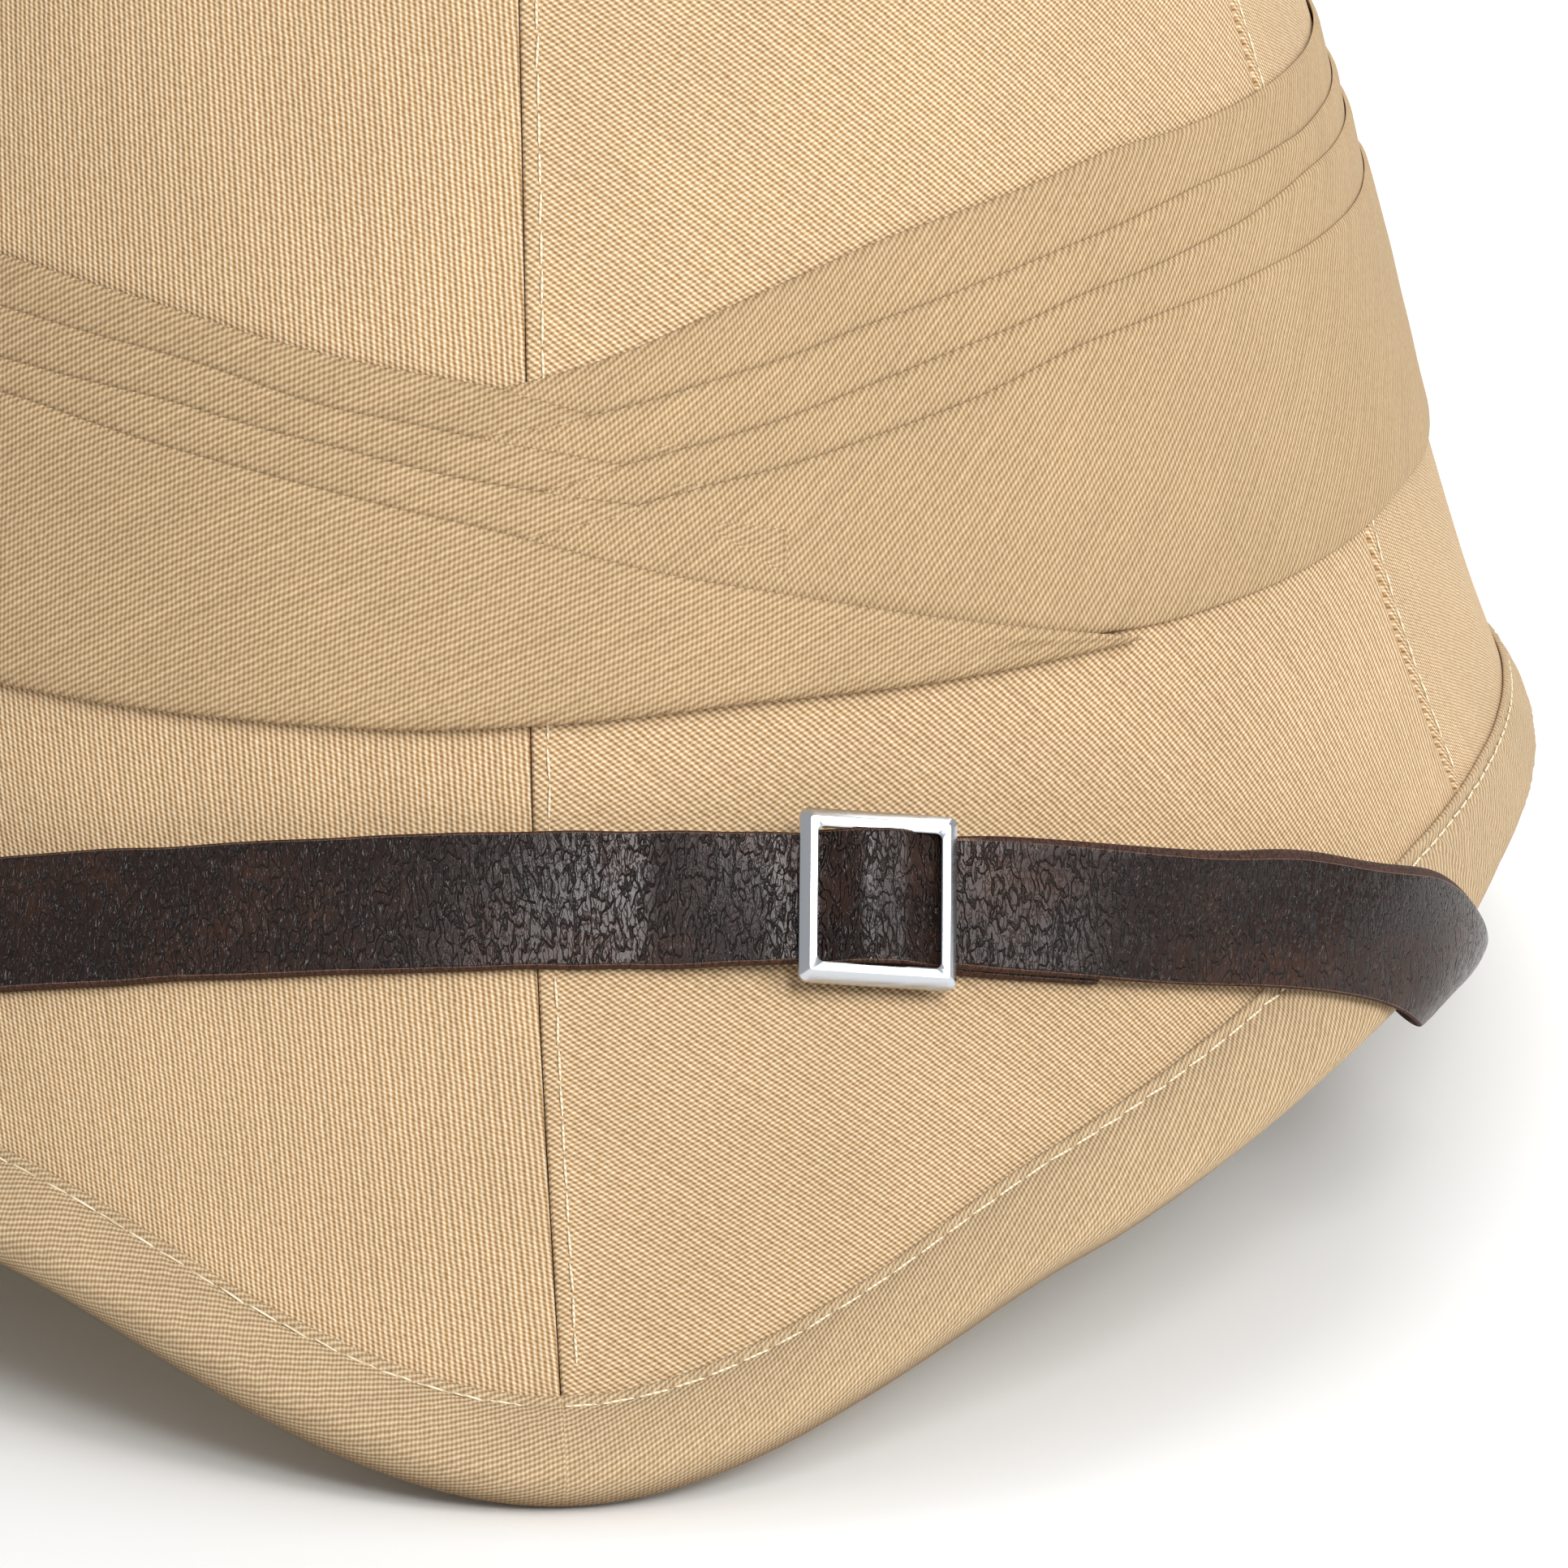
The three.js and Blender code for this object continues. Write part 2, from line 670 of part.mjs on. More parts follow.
function ribbonRing(length, lift, shift) {
  const across = Array.from({ length: strapColumns }, (_, column) => (
    THREE.MathUtils.lerp(-strapWidth / 2, strapWidth / 2, column / (strapColumns - 1)) + shift
  ));
  const outer = across.map((side) => strapPoint(length, side, lift + strapLeather));
  const inner = across.map((side) => strapPoint(length, side, lift)).reverse();
  return [...outer, ...inner];
}

// Lengths between which the strap rolls over the brim's edge, on the side where it starts
function wrapStretch() {
  const reach = strapWidth / 2 + edgeRadius * Math.PI / 2;
  const under = walk.find((step) => route(step.angle) > -reach);
  const over = walk.find((step) => route(step.angle) > reach);
  return { start: under.length, end: over.length };
}

function strapStations() {
  const marks = strapThread.map(({ along }) => buckleAt + along * buckleLength);
  marks.push(tailEnd, tailEnd + threadEase * buckleLength);
  const stations = [0];
  const fill = (end, stride) => {
    const start = stations[stations.length - 1];
    const count = Math.max(Math.ceil((end - start) / stride), 1);
    for (let step = 1; step <= count; step += 1) {
      stations.push(THREE.MathUtils.lerp(start, end, step / count));
    }
  };
  const wraps = wrapStretch();
  fill(wraps.start, strapStep);
  fill(wraps.end, strapWrapStep);
  marks.forEach((mark) => fill(mark, strapStep));
  fill(routeLength - wraps.end, strapStep);
  fill(routeLength - wraps.start, strapWrapStep);
  fill(routeLength, strapStep);
  return stations;
}

// Where a stud holds the strap's end: its foot near the wall, its axis square to the strap,
// and its length up to its head
function studFrame(side) {
  const inset = strapWidth / 2;
  const length = side > 0 ? routeLength - inset : inset;
  const angle = angleAtLength(length);
  const place = placeFromEdge(angle, edgeRadius + Math.abs(route(angle)) - edgeRadius * Math.PI / 2);
  const top = strapPoint(length, 0, strapRest + strapLeather);
  const along = strapPoint(length + inset / 2, 0, strapRest).sub(strapPoint(length - inset / 2, 0, strapRest));
  const across = strapPoint(length, inset, strapRest).sub(strapPoint(length, -inset, strapRest));
  const normal = along.cross(across).normalize();
  const depth = top.distanceTo(skin(angle, place, innerDepth)) - strapUnder;
  return { foot: top.addScaledVector(normal, -depth), normal, reach: depth + studClearance };
}

function placeOnNormal(mesh, foot, normal) {
  mesh.position.copy(foot);
  mesh.quaternion.setFromUnitVectors(up, normal);
  mesh.updateMatrixWorld();
  return mesh;
}

function turned(profile, sides) {
  const geometry = new THREE.LatheGeometry(profile.map(([x, y]) => new THREE.Vector2(x, y)), sides);
  geometry.rotateX(Math.PI / 2);
  return geometry;
}

function anchorStud(side, name) {
  const { foot, normal, reach } = studFrame(side);
  const profile = [
    [0, 0],
    [studRadius, 0],
    [studRadius, reach],
    [studHeadRadius, reach],
    [studHeadRadius, reach + studHeadThickness / 2],
    [studHeadRadius / 2, reach + studHeadThickness],
    [0, reach + studHeadThickness],
  ];
  return placeOnNormal(piece(name, turned(profile, 14), steel), foot, normal);
}

function studHole(side) {
  const { foot, normal, reach } = studFrame(side);
  const radius = studRadius + studClearance;
  const profile = [[0, -reach], [radius, -reach], [radius, 3 * reach], [0, 3 * reach]];
  const cutter = placeOnNormal(piece('cutter', turned(profile, 14), steel), foot, normal);
  return toSolid(cutter.geometry.applyMatrix4(cutter.matrixWorld));
}

function chinStrap() {
  const rings = strapStations().map((length) => ribbonRing(length, threadLift(length), 0));
  const holed = toSolid(loft(rings, false)).subtract(studHole(-1)).subtract(studHole(1));
  return piece('chin_strap', toGeometry(holed), leather);
}

// The strap's folded end, which lies under it beside the buckle
function strapTail() {
  const start = buckleAt - centreBarWidth;
  const count = Math.ceil((tailEnd - start) / (strapStep / 2));
  const rings = [];
  for (let step = 0; step <= count; step += 1) {
    const share = step / count;
    rings.push(ribbonRing(THREE.MathUtils.lerp(start, tailEnd, share), strapRest, -tailShift * share));
  }
  return piece('strap_tail', loft(rings, false), leather);
}

// Buckle: a bevelled frame, with deeper end bars that carry the lower centre bar

function roundedOutline(path, length, width, radius) {
  const [x, y] = [length / 2, width / 2];
  path.moveTo(-x + radius, -y);
  path.lineTo(x - radius, -y);
  path.absarc(x - radius, -y + radius, radius, -Math.PI / 2, 0, false);
  path.lineTo(x, y - radius);
  path.absarc(x - radius, y - radius, radius, 0, Math.PI / 2, false);
  path.lineTo(-x + radius, y);
  path.absarc(-x + radius, y - radius, radius, Math.PI / 2, Math.PI, false);
  path.lineTo(-x, -y + radius);
  path.absarc(-x + radius, -y + radius, radius, Math.PI, 1.5 * Math.PI, false);
  return path;
}

function block(length, width, height, x, y, bottom) {
  const geometry = new THREE.BoxGeometry(length, width, height);
  geometry.translate(x, y, bottom + height / 2);
  return toSolid(geometry);
}

function buckle() {
  const openingLength = buckleLength - 2 * sideBarWidth;
  const edge = frameBevel;
  const face = roundedOutline(new THREE.Shape(), buckleLength - 2 * edge, buckleWidth - 2 * edge, frameCorner - edge);
  face.holes.push(roundedOutline(new THREE.Path(), openingLength + 2 * edge, openingWidth + 2 * edge, frameCorner / 2 + edge));
  const rim = new THREE.ExtrudeGeometry(face, {
    depth: frameThickness - 2 * edge,
    bevelEnabled: true,
    bevelSize: edge,
    bevelThickness: edge,
    bevelSegments: 1,
    curveSegments: 2,
  });
  rim.translate(0, 0, frameBottom + edge);
  const railTop = frameBottom + frameThickness / 2;
  const railHeight = railTop - tailLevel;
  const railLength = buckleLength - 2 * frameCorner;
  const railPlace = (openingWidth + endBarWidth) / 2;
  let solid = toSolid(rim);
  for (const side of [-1, 1]) {
    solid = solid.add(block(railLength, endBarWidth, railHeight, 0, side * railPlace, tailLevel));
  }
  solid = solid.add(block(centreBarWidth, openingWidth + endBarWidth, centreBarThickness, 0, 0, tailLevel));
  const mesh = piece('buckle', toGeometry(solid), aluminium);
  const foot = strapPoint(buckleAt, 0, 0);
  const along = strapPoint(buckleAt + 1, 0, 0).sub(strapPoint(buckleAt - 1, 0, 0)).normalize();
  const across = strapPoint(buckleAt, strapWidth / 2, 0).sub(strapPoint(buckleAt, -strapWidth / 2, 0));
  const normal = along.clone().cross(across).normalize();
  const sideways = normal.clone().cross(along);
  mesh.position.copy(foot);
  mesh.quaternion.setFromRotationMatrix(new THREE.Matrix4().makeBasis(along, sideways, normal));
  return mesh;
}

// Cloth-covered ventilator button in the hole at the crown's top

function ventilator() {
  const rest = crownHeight + clothGap;
  const rimPlace = placeFromRadius(buttonRadius);
  const rimRest = crownPoint(90, rimPlace).z + clothGap;
  const stem = ventHole - ventClearance;
  const top = rest + buttonHeight;
  const shoulder = THREE.MathUtils.lerp(buttonFlat, buttonRadius, 0.55);
  const profile = [
    [0, rest - stemLength],
    [stem, rest - stemLength],
    [stem, rest],
    [THREE.MathUtils.lerp(stem, buttonRadius, 0.5), rest],
    [buttonRadius - buttonRim / 2, rimRest],
    [buttonRadius, rimRest + buttonRim / 2],
    [buttonRadius - buttonRim / 4, rimRest + buttonRim],
    [shoulder, THREE.MathUtils.lerp(top, rimRest + buttonRim, 0.28)],
    [buttonFlat, top],
    [0, top],
  ];
  return piece('ventilator', turned(profile, 24), pleatedDrill);
}

// The helmet stands on its brim, with the origin under the middle of its outline

const helmet = new THREE.Group();
helmet.add(bodyShell());
for (let index = 0; index < seamCount; index += 1) {
  helmet.add(coverPanel(index));
}
helmet.add(pleatedBand());
helmet.add(edgeBinding());
helmet.add(chinStrap());
helmet.add(strapTail());
helmet.add(buckle());
helmet.add(anchorStud(1, 'strap_stud_left'));
helmet.add(anchorStud(-1, 'strap_stud_right'));
helmet.add(ventilator());

const outline = new THREE.Box3().setFromObject(helmet, true);
const middle = outline.getCenter(new THREE.Vector3());
helmet.position.set(-middle.x, -middle.y, -outline.min.z);

export default helmet;
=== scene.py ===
"""Pith helmet in khaki drill: the looks of every piece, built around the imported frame.

Shapes are worked out in millimetres, with the height counted from the line where crown and brim meet.
Angles run round the hat in degrees: 0 at the front, 90 at the wearer's left, 180 at the back.
"""

import json
import logging
import math
from dataclasses import dataclass, field
from enum import Enum

import bmesh
import bpy
import numpy as np
from mathutils import Matrix, Vector

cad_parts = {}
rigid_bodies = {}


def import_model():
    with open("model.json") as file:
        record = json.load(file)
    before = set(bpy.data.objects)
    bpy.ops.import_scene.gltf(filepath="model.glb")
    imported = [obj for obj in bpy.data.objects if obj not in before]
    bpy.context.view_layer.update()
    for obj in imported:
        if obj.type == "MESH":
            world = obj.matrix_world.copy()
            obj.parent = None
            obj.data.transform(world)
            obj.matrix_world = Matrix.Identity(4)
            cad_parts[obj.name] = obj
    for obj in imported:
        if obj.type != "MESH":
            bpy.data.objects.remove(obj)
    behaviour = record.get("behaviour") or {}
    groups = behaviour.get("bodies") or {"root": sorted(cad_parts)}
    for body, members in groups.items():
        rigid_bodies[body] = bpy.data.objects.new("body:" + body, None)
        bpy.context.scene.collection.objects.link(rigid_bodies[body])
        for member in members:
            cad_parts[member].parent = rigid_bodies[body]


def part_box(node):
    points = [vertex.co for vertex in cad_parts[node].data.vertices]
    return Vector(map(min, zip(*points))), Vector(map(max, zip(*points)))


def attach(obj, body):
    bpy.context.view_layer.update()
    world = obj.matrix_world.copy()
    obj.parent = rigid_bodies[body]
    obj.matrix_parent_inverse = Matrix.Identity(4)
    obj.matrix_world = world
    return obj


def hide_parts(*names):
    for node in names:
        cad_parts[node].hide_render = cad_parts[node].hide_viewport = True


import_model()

LOG = logging.getLogger("pith_helmet")
MM = 0.001
BODY = "root"
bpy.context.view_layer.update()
Array = np.ndarray


class Weave(Enum):
    """Direction in which a panel's wales climb, in degrees from the level, towards the wearer's left."""

    STEEP = 92.5
    FLAT = 140.0


class Face(Enum):
    """Face of the brim that a row of stitches shows on."""

    TOP = 1
    UNDER = -1


def linear(colour: str) -> tuple[float, float, float, float]:
    """Turns an sRGB hex colour into a linear one.

    Args:
        colour: The colour as "#rrggbb".

    Returns:
        Linear red, green and blue, with an alpha of one.
    """
    parts = [int(colour[i : i + 2], 16) / 255 for i in (1, 3, 5)]
    red, green, blue = (c / 12.92 if c <= 0.04045 else ((c + 0.055) / 1.055) ** 2.4 for c in parts)
    return red, green, blue, 1.0


def smoothstep(value: Array, low: float, high: float) -> Array:
    """Eases from 0 at low to 1 at high.

    Args:
        value: Numbers to ease.
        low: Where the rise starts.
        high: Where it ends.

    Returns:
        Eased numbers from 0 to 1.
    """
    share = np.clip((np.asarray(value, float) - low) / (high - low), 0.0, 1.0)
    return share * share * (3.0 - 2.0 * share)


def hermite(share: Array, start: Array, start_slope: Array, end: Array, end_slope: Array) -> Array:
    """Cubic curve between two values with given slopes.

    Args:
        share: Place between the two, from 0 to 1.
        start: First value.
        start_slope: Slope there, for the whole span.
        end: Last value.
        end_slope: Slope there, for the whole span.

    Returns:
        Values of the curve.
    """
    square, cube = share**2, share**3
    rise = 3.0 * square - 2.0 * cube
    return start * (1.0 - rise) + start_slope * (cube - 2.0 * square + share) + end * rise + end_slope * (cube - square)


def ripple(x: Array, y: Array, size: float, seed: int) -> Array:
    """Soft unevenness, as cloth pulled on by hand has.

    Args:
        x: First coordinate, in millimetres.
        y: Second coordinate, in millimetres.
        size: Usual length of a wave, in millimetres.
        seed: Seed of the waves' directions.

    Returns:
        Heights from about -1 to 1.
    """
    draw = np.random.default_rng(seed)
    total = np.zeros(np.broadcast(x, y).shape)
    for _ in range(7):
        turn, phase = draw.uniform(0, 2 * math.pi, 2)
        length = size * draw.uniform(0.6, 1.8)
        total = total + np.sin(2 * math.pi / length * (x * math.cos(turn) + y * math.sin(turn)) + phase)
    return total / 4.0


def unit(vectors: Array) -> Array:
    """Vectors made one long."""
    return vectors / np.linalg.norm(vectors, axis=-1, keepdims=True)


def grow(values: list[float], shape: tuple[int, ...]) -> Array:
    """A row of values as an array of that shape."""
    return np.broadcast_to(np.asarray(values, float), shape)


@dataclass(frozen=True)
class BrimKnot:
    """Brim at one angle: how far it reaches out and drops, from the crown's foot."""

    angle: float
    reach: float
    drop: float


@dataclass(frozen=True)
class HatForm:
    """Outer surface of the hat, in millimetres, as in the part's source."""

    crown_length: float = 229.0
    crown_width: float = 202.6
    crown_height: float = 124.6
    crown_roundness: float = 2.14
    wall_lean: float = math.radians(16.2)
    brim_curl: float = 0.15
    handle: float = 0.33
    cover: float = 1.0
    gap: float = 0.3
    wall: float = 3.0
    binding_width: float = 10.5
    binding_cloth: float = 1.0
    trim: float = 1.7
    vent_hole: float = 8.0
    button_height: float = 8.0
    probe: float = 1e-3
    knots: tuple[BrimKnot, ...] = (
        BrimKnot(0, 52.4, 58.8),
        BrimKnot(20, 40.086, 43.1004),
        BrimKnot(40, 25.414, 34.9272),
        BrimKnot(60, 14.28, 34.5161),
        BrimKnot(80, 12.0, 35.7027),
        BrimKnot(100, 17.4, 39.5068),
        BrimKnot(130, 33.28, 49.14),
        BrimKnot(155, 46.8, 57.33),
        BrimKnot(180, 52.0, 58.5),
    )

    @property
    def cover_depth(self) -> float:
        """From the outer surface down to the pith body."""
        return self.cover + self.gap

    @property
    def inner_depth(self) -> float:
        """From the outer surface down to the inside of the pith body."""
        return self.cover_depth + self.wall

    @property
    def binding_lift(self) -> float:
        """Height of the binding's face over the cover."""
        return self.binding_cloth + self.gap

    @property
    def edge_radius(self) -> float:
        """Half the thickness of the finished brim's edge."""
        return (self.inner_depth + 2 * self.binding_lift) / 2

    @property
    def edge_setback(self) -> float:
        """How far the body and the cover end short of the edge, with room for the binding's pull."""
        return self.binding_cloth + 2 * self.gap + self.trim

    @property
    def origin(self) -> Array:
        """Middle of the crown's foot in the frame, in millimetres, read from the ventilator's place."""
        low, high = (np.array(corner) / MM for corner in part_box("ventilator"))
        top = self.crown_height + self.gap + self.button_height
        return np.array([(low[0] + high[0]) / 2, (low[1] + high[1]) / 2, high[2] - top])

    def brim_sizes(self, angle: Array) -> tuple[Array, Array]:
        """Reads the brim's outline.

        Args:
            angle: Angles round the hat.

        Returns:
            Reach and drop at those angles.
        """
        first, last = self.knots[0], self.knots[-1]
        rows = [BrimKnot(-self.knots[1].angle, self.knots[1].reach, self.knots[1].drop), *self.knots]
        rows.append(BrimKnot(360 - self.knots[-2].angle, self.knots[-2].reach, self.knots[-2].drop))
        place = np.array([row.angle for row in rows], float)
        at = np.clip(np.abs((np.asarray(angle, float) + 180.0) % 360.0 - 180.0), first.angle, last.angle)
        index = np.clip(np.searchsorted(place[1:-1], at, "right") - 1, 0, len(self.knots) - 2)
        found = []
        for name in ("reach", "drop"):
            value = np.array([getattr(row, name) for row in rows], float)
            before, start, end, after = (value[index + step] for step in range(4))
            p_before, p_start, p_end, p_after = (place[index + step] for step in range(4))
            span = p_end - p_start
            start_slope = (end - before) / (p_end - p_before) * span
            end_slope = (after - start) / (p_after - p_start) * span
            found.append(hermite((at - p_start) / span, start, start_slope, end, end_slope))
        return found[0], found[1]

    def brim_length(self, angle: Array) -> Array:
        """Length of the brim's slope at an angle."""
        return np.hypot(*self.brim_sizes(angle))

    def foot(self, angle: Array) -> Array:
        """Points where crown and brim meet."""
        turn = np.radians(angle)
        return np.stack(
            [self.crown_width / 2 * np.sin(turn), -self.crown_length / 2 * np.cos(turn), np.zeros_like(turn)], -1
        )

    def crown_point(self, angle: Array, share: Array) -> Array:
        """Points of the crown.

        Args:
            angle: Angles round the hat.
            share: 0 at the top to 1 at the foot.

        Returns:
            Points in millimetres.
        """
        swing = (1 - share) * math.pi / 2
        height = self.crown_height * np.sin(swing) ** (2 / self.crown_roundness)
        foot = self.foot(angle)
        shape = np.maximum(np.cos(swing), 0) ** (2 / self.crown_roundness)
        away = np.linalg.norm(foot, axis=-1)
        taper = math.tan(self.wall_lean) * height / away * (1 - height / self.crown_height)
        point = foot * (shape - taper)[..., None]
        point[..., 2] = height
        return point

    def brim_point(self, angle: Array, share: Array) -> Array:
        """Points of the brim.

        Args:
            angle: Angles round the hat.
            share: 0 at the crown's foot to 1 at the edge.

        Returns:
            Points in millimetres.
        """
        turn = np.radians(angle)
        flat = [np.sin(turn) / self.crown_width, -np.cos(turn) / self.crown_length, np.zeros_like(turn)]
        out = unit(np.stack(flat, -1))
        reach, drop = self.brim_sizes(angle)
        chord = np.arctan2(reach, drop)
        end_lean = chord + (chord - self.wall_lean) * self.brim_curl
        handle = self.handle * np.hypot(reach, drop)
        upward = np.array([0.0, 0.0, 1.0])

        def slope(tilt: Array) -> Array:
            """Direction down the brim at that tilt."""
            return out * np.sin(tilt)[..., None] - upward * np.cos(tilt)[..., None]

        start = self.foot(angle)
        end = start + out * reach[..., None] - upward * drop[..., None]
        after = start + slope(np.full_like(reach, self.wall_lean)) * handle[..., None]
        before = end - slope(end_lean) * handle[..., None]
        t = share[..., None]
        return (1 - t) ** 3 * start + 3 * (1 - t) ** 2 * t * after + 3 * (1 - t) * t**2 * before + t**3 * end

    def point(self, angle: Array, place: Array) -> Array:
        """Points of the outer surface.

        Args:
            angle: Angles round the hat.
            place: 0 at the crown's top, 1 at its foot, 2 at the brim's edge.

        Returns:
            Points in millimetres.
        """
        angle, place = np.broadcast_arrays(np.asarray(angle, float), np.asarray(place, float))
        crown = self.crown_point(angle, np.clip(place, 0, 1))
        brim = self.brim_point(angle, np.clip(place - 1, 0, 1))
        return np.where((place < 1)[..., None], crown, brim)

    def normal(self, angle: Array, place: Array) -> Array:
        """Directions straight out of the surface."""
        centred = np.clip(place, 2 * self.probe, 2 - 2 * self.probe)
        along = self.point(angle, centred + self.probe) - self.point(angle, centred - self.probe)
        turn = self.point(angle + self.probe, centred) - self.point(angle - self.probe, centred)
        return unit(np.cross(along, turn))

    def skin(self, angle: Array, place: Array, lift: Array) -> Array:
        """Points that stand off the outer surface by a lift."""
        lift = np.asarray(lift, float)
        return self.point(angle, place) + self.normal(angle, place) * lift[..., None]

    def place_from_edge(self, angle: Array, inset: Array) -> Array:
        """Place at a distance up from the brim's edge."""
        length = self.brim_length(angle)
        crown = 1 - (inset - length) / (self.crown_height * math.pi / 2)
        return np.where(inset <= length, 2 - inset / length, crown)

    def place_from_height(self, angle: Array, height: Array) -> Array:
        """Place at a height over the crown's foot, or down the brim for a negative one."""
        share = np.clip(height / self.crown_height, 0, 1) ** (self.crown_roundness / 2)
        brim = 1 - height / (self.brim_length(angle) * math.cos(self.wall_lean))
        return np.where(height < 0, brim, 1 - np.arcsin(share) * 2 / math.pi)

    def place_from_radius(self, radius: float) -> float:
        """Place on the crown where it is that wide at its narrowest, from its axis."""
        shares = np.linspace(0, 1, 4001)
        side = self.crown_point(np.full_like(shares, 90.0), shares)[:, 0]
        front = -self.crown_point(np.zeros_like(shares), shares)[:, 1]
        return float(np.interp(radius, np.minimum(side, front), shares))


@dataclass
class NodeTree:
    """A material's nodes, added one by one with their settings and links."""

    name: str
    material: bpy.types.Material = field(init=False)

    def __post_init__(self) -> None:
        """Starts an empty material."""
        self.material = bpy.data.materials.new(self.name)
        self.material.use_nodes = True
        self.material.node_tree.nodes.clear()

    def add(self, kind: str, inputs: dict | None = None, **settings: object) -> bpy.types.Node:
        """Adds a node.

        Args:
            kind: Blender's name of the node, without its first word.
            inputs: A value or another node's socket for each input, by name or number.
            **settings: Values of the node's own options.

        Returns:
            The node.
        """
        node = self.material.node_tree.nodes.new("ShaderNode" + kind)
        for key, value in settings.items():
            setattr(node, key, value)
        for key, value in (inputs or {}).items():
            if isinstance(value, bpy.types.NodeSocket):
                self.material.node_tree.links.new(value, node.inputs[key])
            else:
                node.inputs[key].default_value = value
        return node

    def ramp(self, value: bpy.types.NodeSocket, stops: list[tuple[float, str]]) -> bpy.types.NodeSocket:
        """Turns a number into a colour.

        Args:
            value: The number, from 0 to 1.
            stops: Place and hex colour of each stop.

        Returns:
            The colour socket.
        """
        node = self.add("ValToRGB", {0: value})
        elements = node.color_ramp.elements
        while len(elements) < len(stops):
            elements.new(0.5)
        for element, (place, colour) in zip(elements, stops):
            element.position = place
            element.color = linear(colour)
        return node.outputs[0]

    def finish(self, shader: dict) -> bpy.types.Material:
        """Adds the shader and the output.

        Args:
            shader: Inputs of the Principled shader.

        Returns:
            The finished material.
        """
        surface = self.add("BsdfPrincipled", shader)
        self.add("OutputMaterial", {0: surface.outputs[0]})
        return self.material


@dataclass(frozen=True)
class CottonDrill:
    """Woven cotton drill: diagonal wales of short bright floats, dull, with a faint bloom at grazing angles.

    Rows of small dark gaps show between the floats; their darkness is painted shade, and the floats' pale tops are a
    painted highlight.
    """

    name: str = "cotton_drill_woven"
    # Gap and groove colours are painted shade in the weave's hollows; the float colour is a painted highlight on the
    # floats' tops; the thread colour is the cloth's own.
    gap_shade_colour: str = "#85643e"
    groove_shade_colour: str = "#af8c62"
    thread_colour: str = "#c8ab83"
    float_highlight_colour: str = "#e7d7bf"
    # Painted shade in the needle holes.
    hole_shade_colour: str = "#6d5230"
    # Multiplied in as painted shade on the underside of the brim's edge.
    underside_shade_colour: str = "#b9b0a4"
    wale_pitch: float = 0.55
    pick_pitch: float = 0.425
    pick_turn: float = math.radians(63)
    relief: float = 0.1
    seamed: bool = False
    # Turns on that painted shade on the brim edge's underside.
    wear_and_shade: bool = False
    stitch_pitch: float = 3.7
    stitch_inset: float = 1.55

    def weave(self, tree: NodeTree) -> tuple[bpy.types.NodeSocket, bpy.types.NodeSocket]:
        """Builds the weave's height from the piece's own cloth map, in millimetres.

        Args:
            tree: The material's nodes.

        Returns:
            The height from 0 to 1, and the cloth coordinates in millimetres.
        """
        cloth = tree.add("UVMap", uv_map="cloth")
        flat = tree.add("VectorMath", {0: cloth.outputs[0], "Scale": 1 / MM}, operation="SCALE").outputs[0]
        waver = tree.add("TexNoise", {"Vector": flat, "Scale": 0.6, "Detail": 3.0, "Roughness": 0.6})
        centred = tree.add("VectorMath", {0: waver.outputs["Color"], 1: (0.5, 0.5, 0.5)}, operation="SUBTRACT")
        shift = tree.add("VectorMath", {0: centred.outputs[0], "Scale": 0.3}, operation="SCALE")
        bent = tree.add("VectorMath", {0: flat, 1: shift.outputs[0]}, operation="ADD")
        wale = (2 * math.pi / self.wale_pitch, 0, 0)
        pick = 2 * math.pi / self.pick_pitch
        pick_way = (pick * math.cos(self.pick_turn), -pick * math.sin(self.pick_turn), 0)
        waves = []
        for way in (wale, pick_way):
            turn = tree.add("VectorMath", {0: bent.outputs[0], 1: way}, operation="DOT_PRODUCT")
            wave = tree.add("Math", {0: turn.outputs["Value"]}, operation="COSINE")
            waves.append(tree.add("Math", {0: wave.outputs[0], 1: 0.5, 2: 0.5}, operation="MULTIPLY_ADD").outputs[0])
        beads = tree.add("Math", {0: waves[1], 1: 0.38}, operation="MULTIPLY")
        woven = tree.add("Math", {0: waves[0], 1: 0.62, 2: beads.outputs[0]}, operation="MULTIPLY_ADD")
        uneven = tree.add("TexNoise", {"Vector": flat, "Scale": 1.4, "Detail": 3.0, "Roughness": 0.65})
        height = tree.add("Math", {0: uneven.outputs[0], 1: 0.5, 2: -0.25}, operation="MULTIPLY_ADD")
        height = tree.add("Math", {0: woven.outputs[0], 1: height.outputs[0]}, operation="ADD", use_clamp=True)
        return height.outputs[0], flat

    def needle_hole_shade(self, tree: NodeTree, colour: bpy.types.NodeSocket) -> bpy.types.NodeSocket:
        """Paints shade into small spots where the needle went through, along each seam.

        Args:
            tree: The material's nodes.
            colour: The cloth's colour.

        Returns:
            The colour with painted shade in its needle holes.
        """
        seam = tree.add("UVMap", uv_map="seam")
        scaled = tree.add("VectorMath", {0: seam.outputs[0], "Scale": 1 / MM}, operation="SCALE")
        axes = tree.add("SeparateXYZ", {0: scaled.outputs[0]})
        turn = tree.add("Math", {0: axes.outputs[1], 1: self.stitch_pitch / 2}, operation="PINGPONG")
        beside = tree.add("Math", {0: axes.outputs[0], 1: self.stitch_inset}, operation="SUBTRACT")
        both = tree.add("CombineXYZ", {0: beside.outputs[0], 1: turn.outputs[0]})
        away = tree.add("VectorMath", {0: both.outputs[0]}, operation="LENGTH")
        reach = {"Value": away.outputs["Value"], 1: 0.1, 2: 0.28, 3: 0.72, 4: 1.0}
        spot = tree.add("MapRange", reach, interpolation_type="SMOOTHSTEP")
        mix = tree.add("Mix", {0: spot.outputs[0], 6: linear(self.hole_shade_colour), 7: colour}, data_type="RGBA")
        return mix.outputs[2]

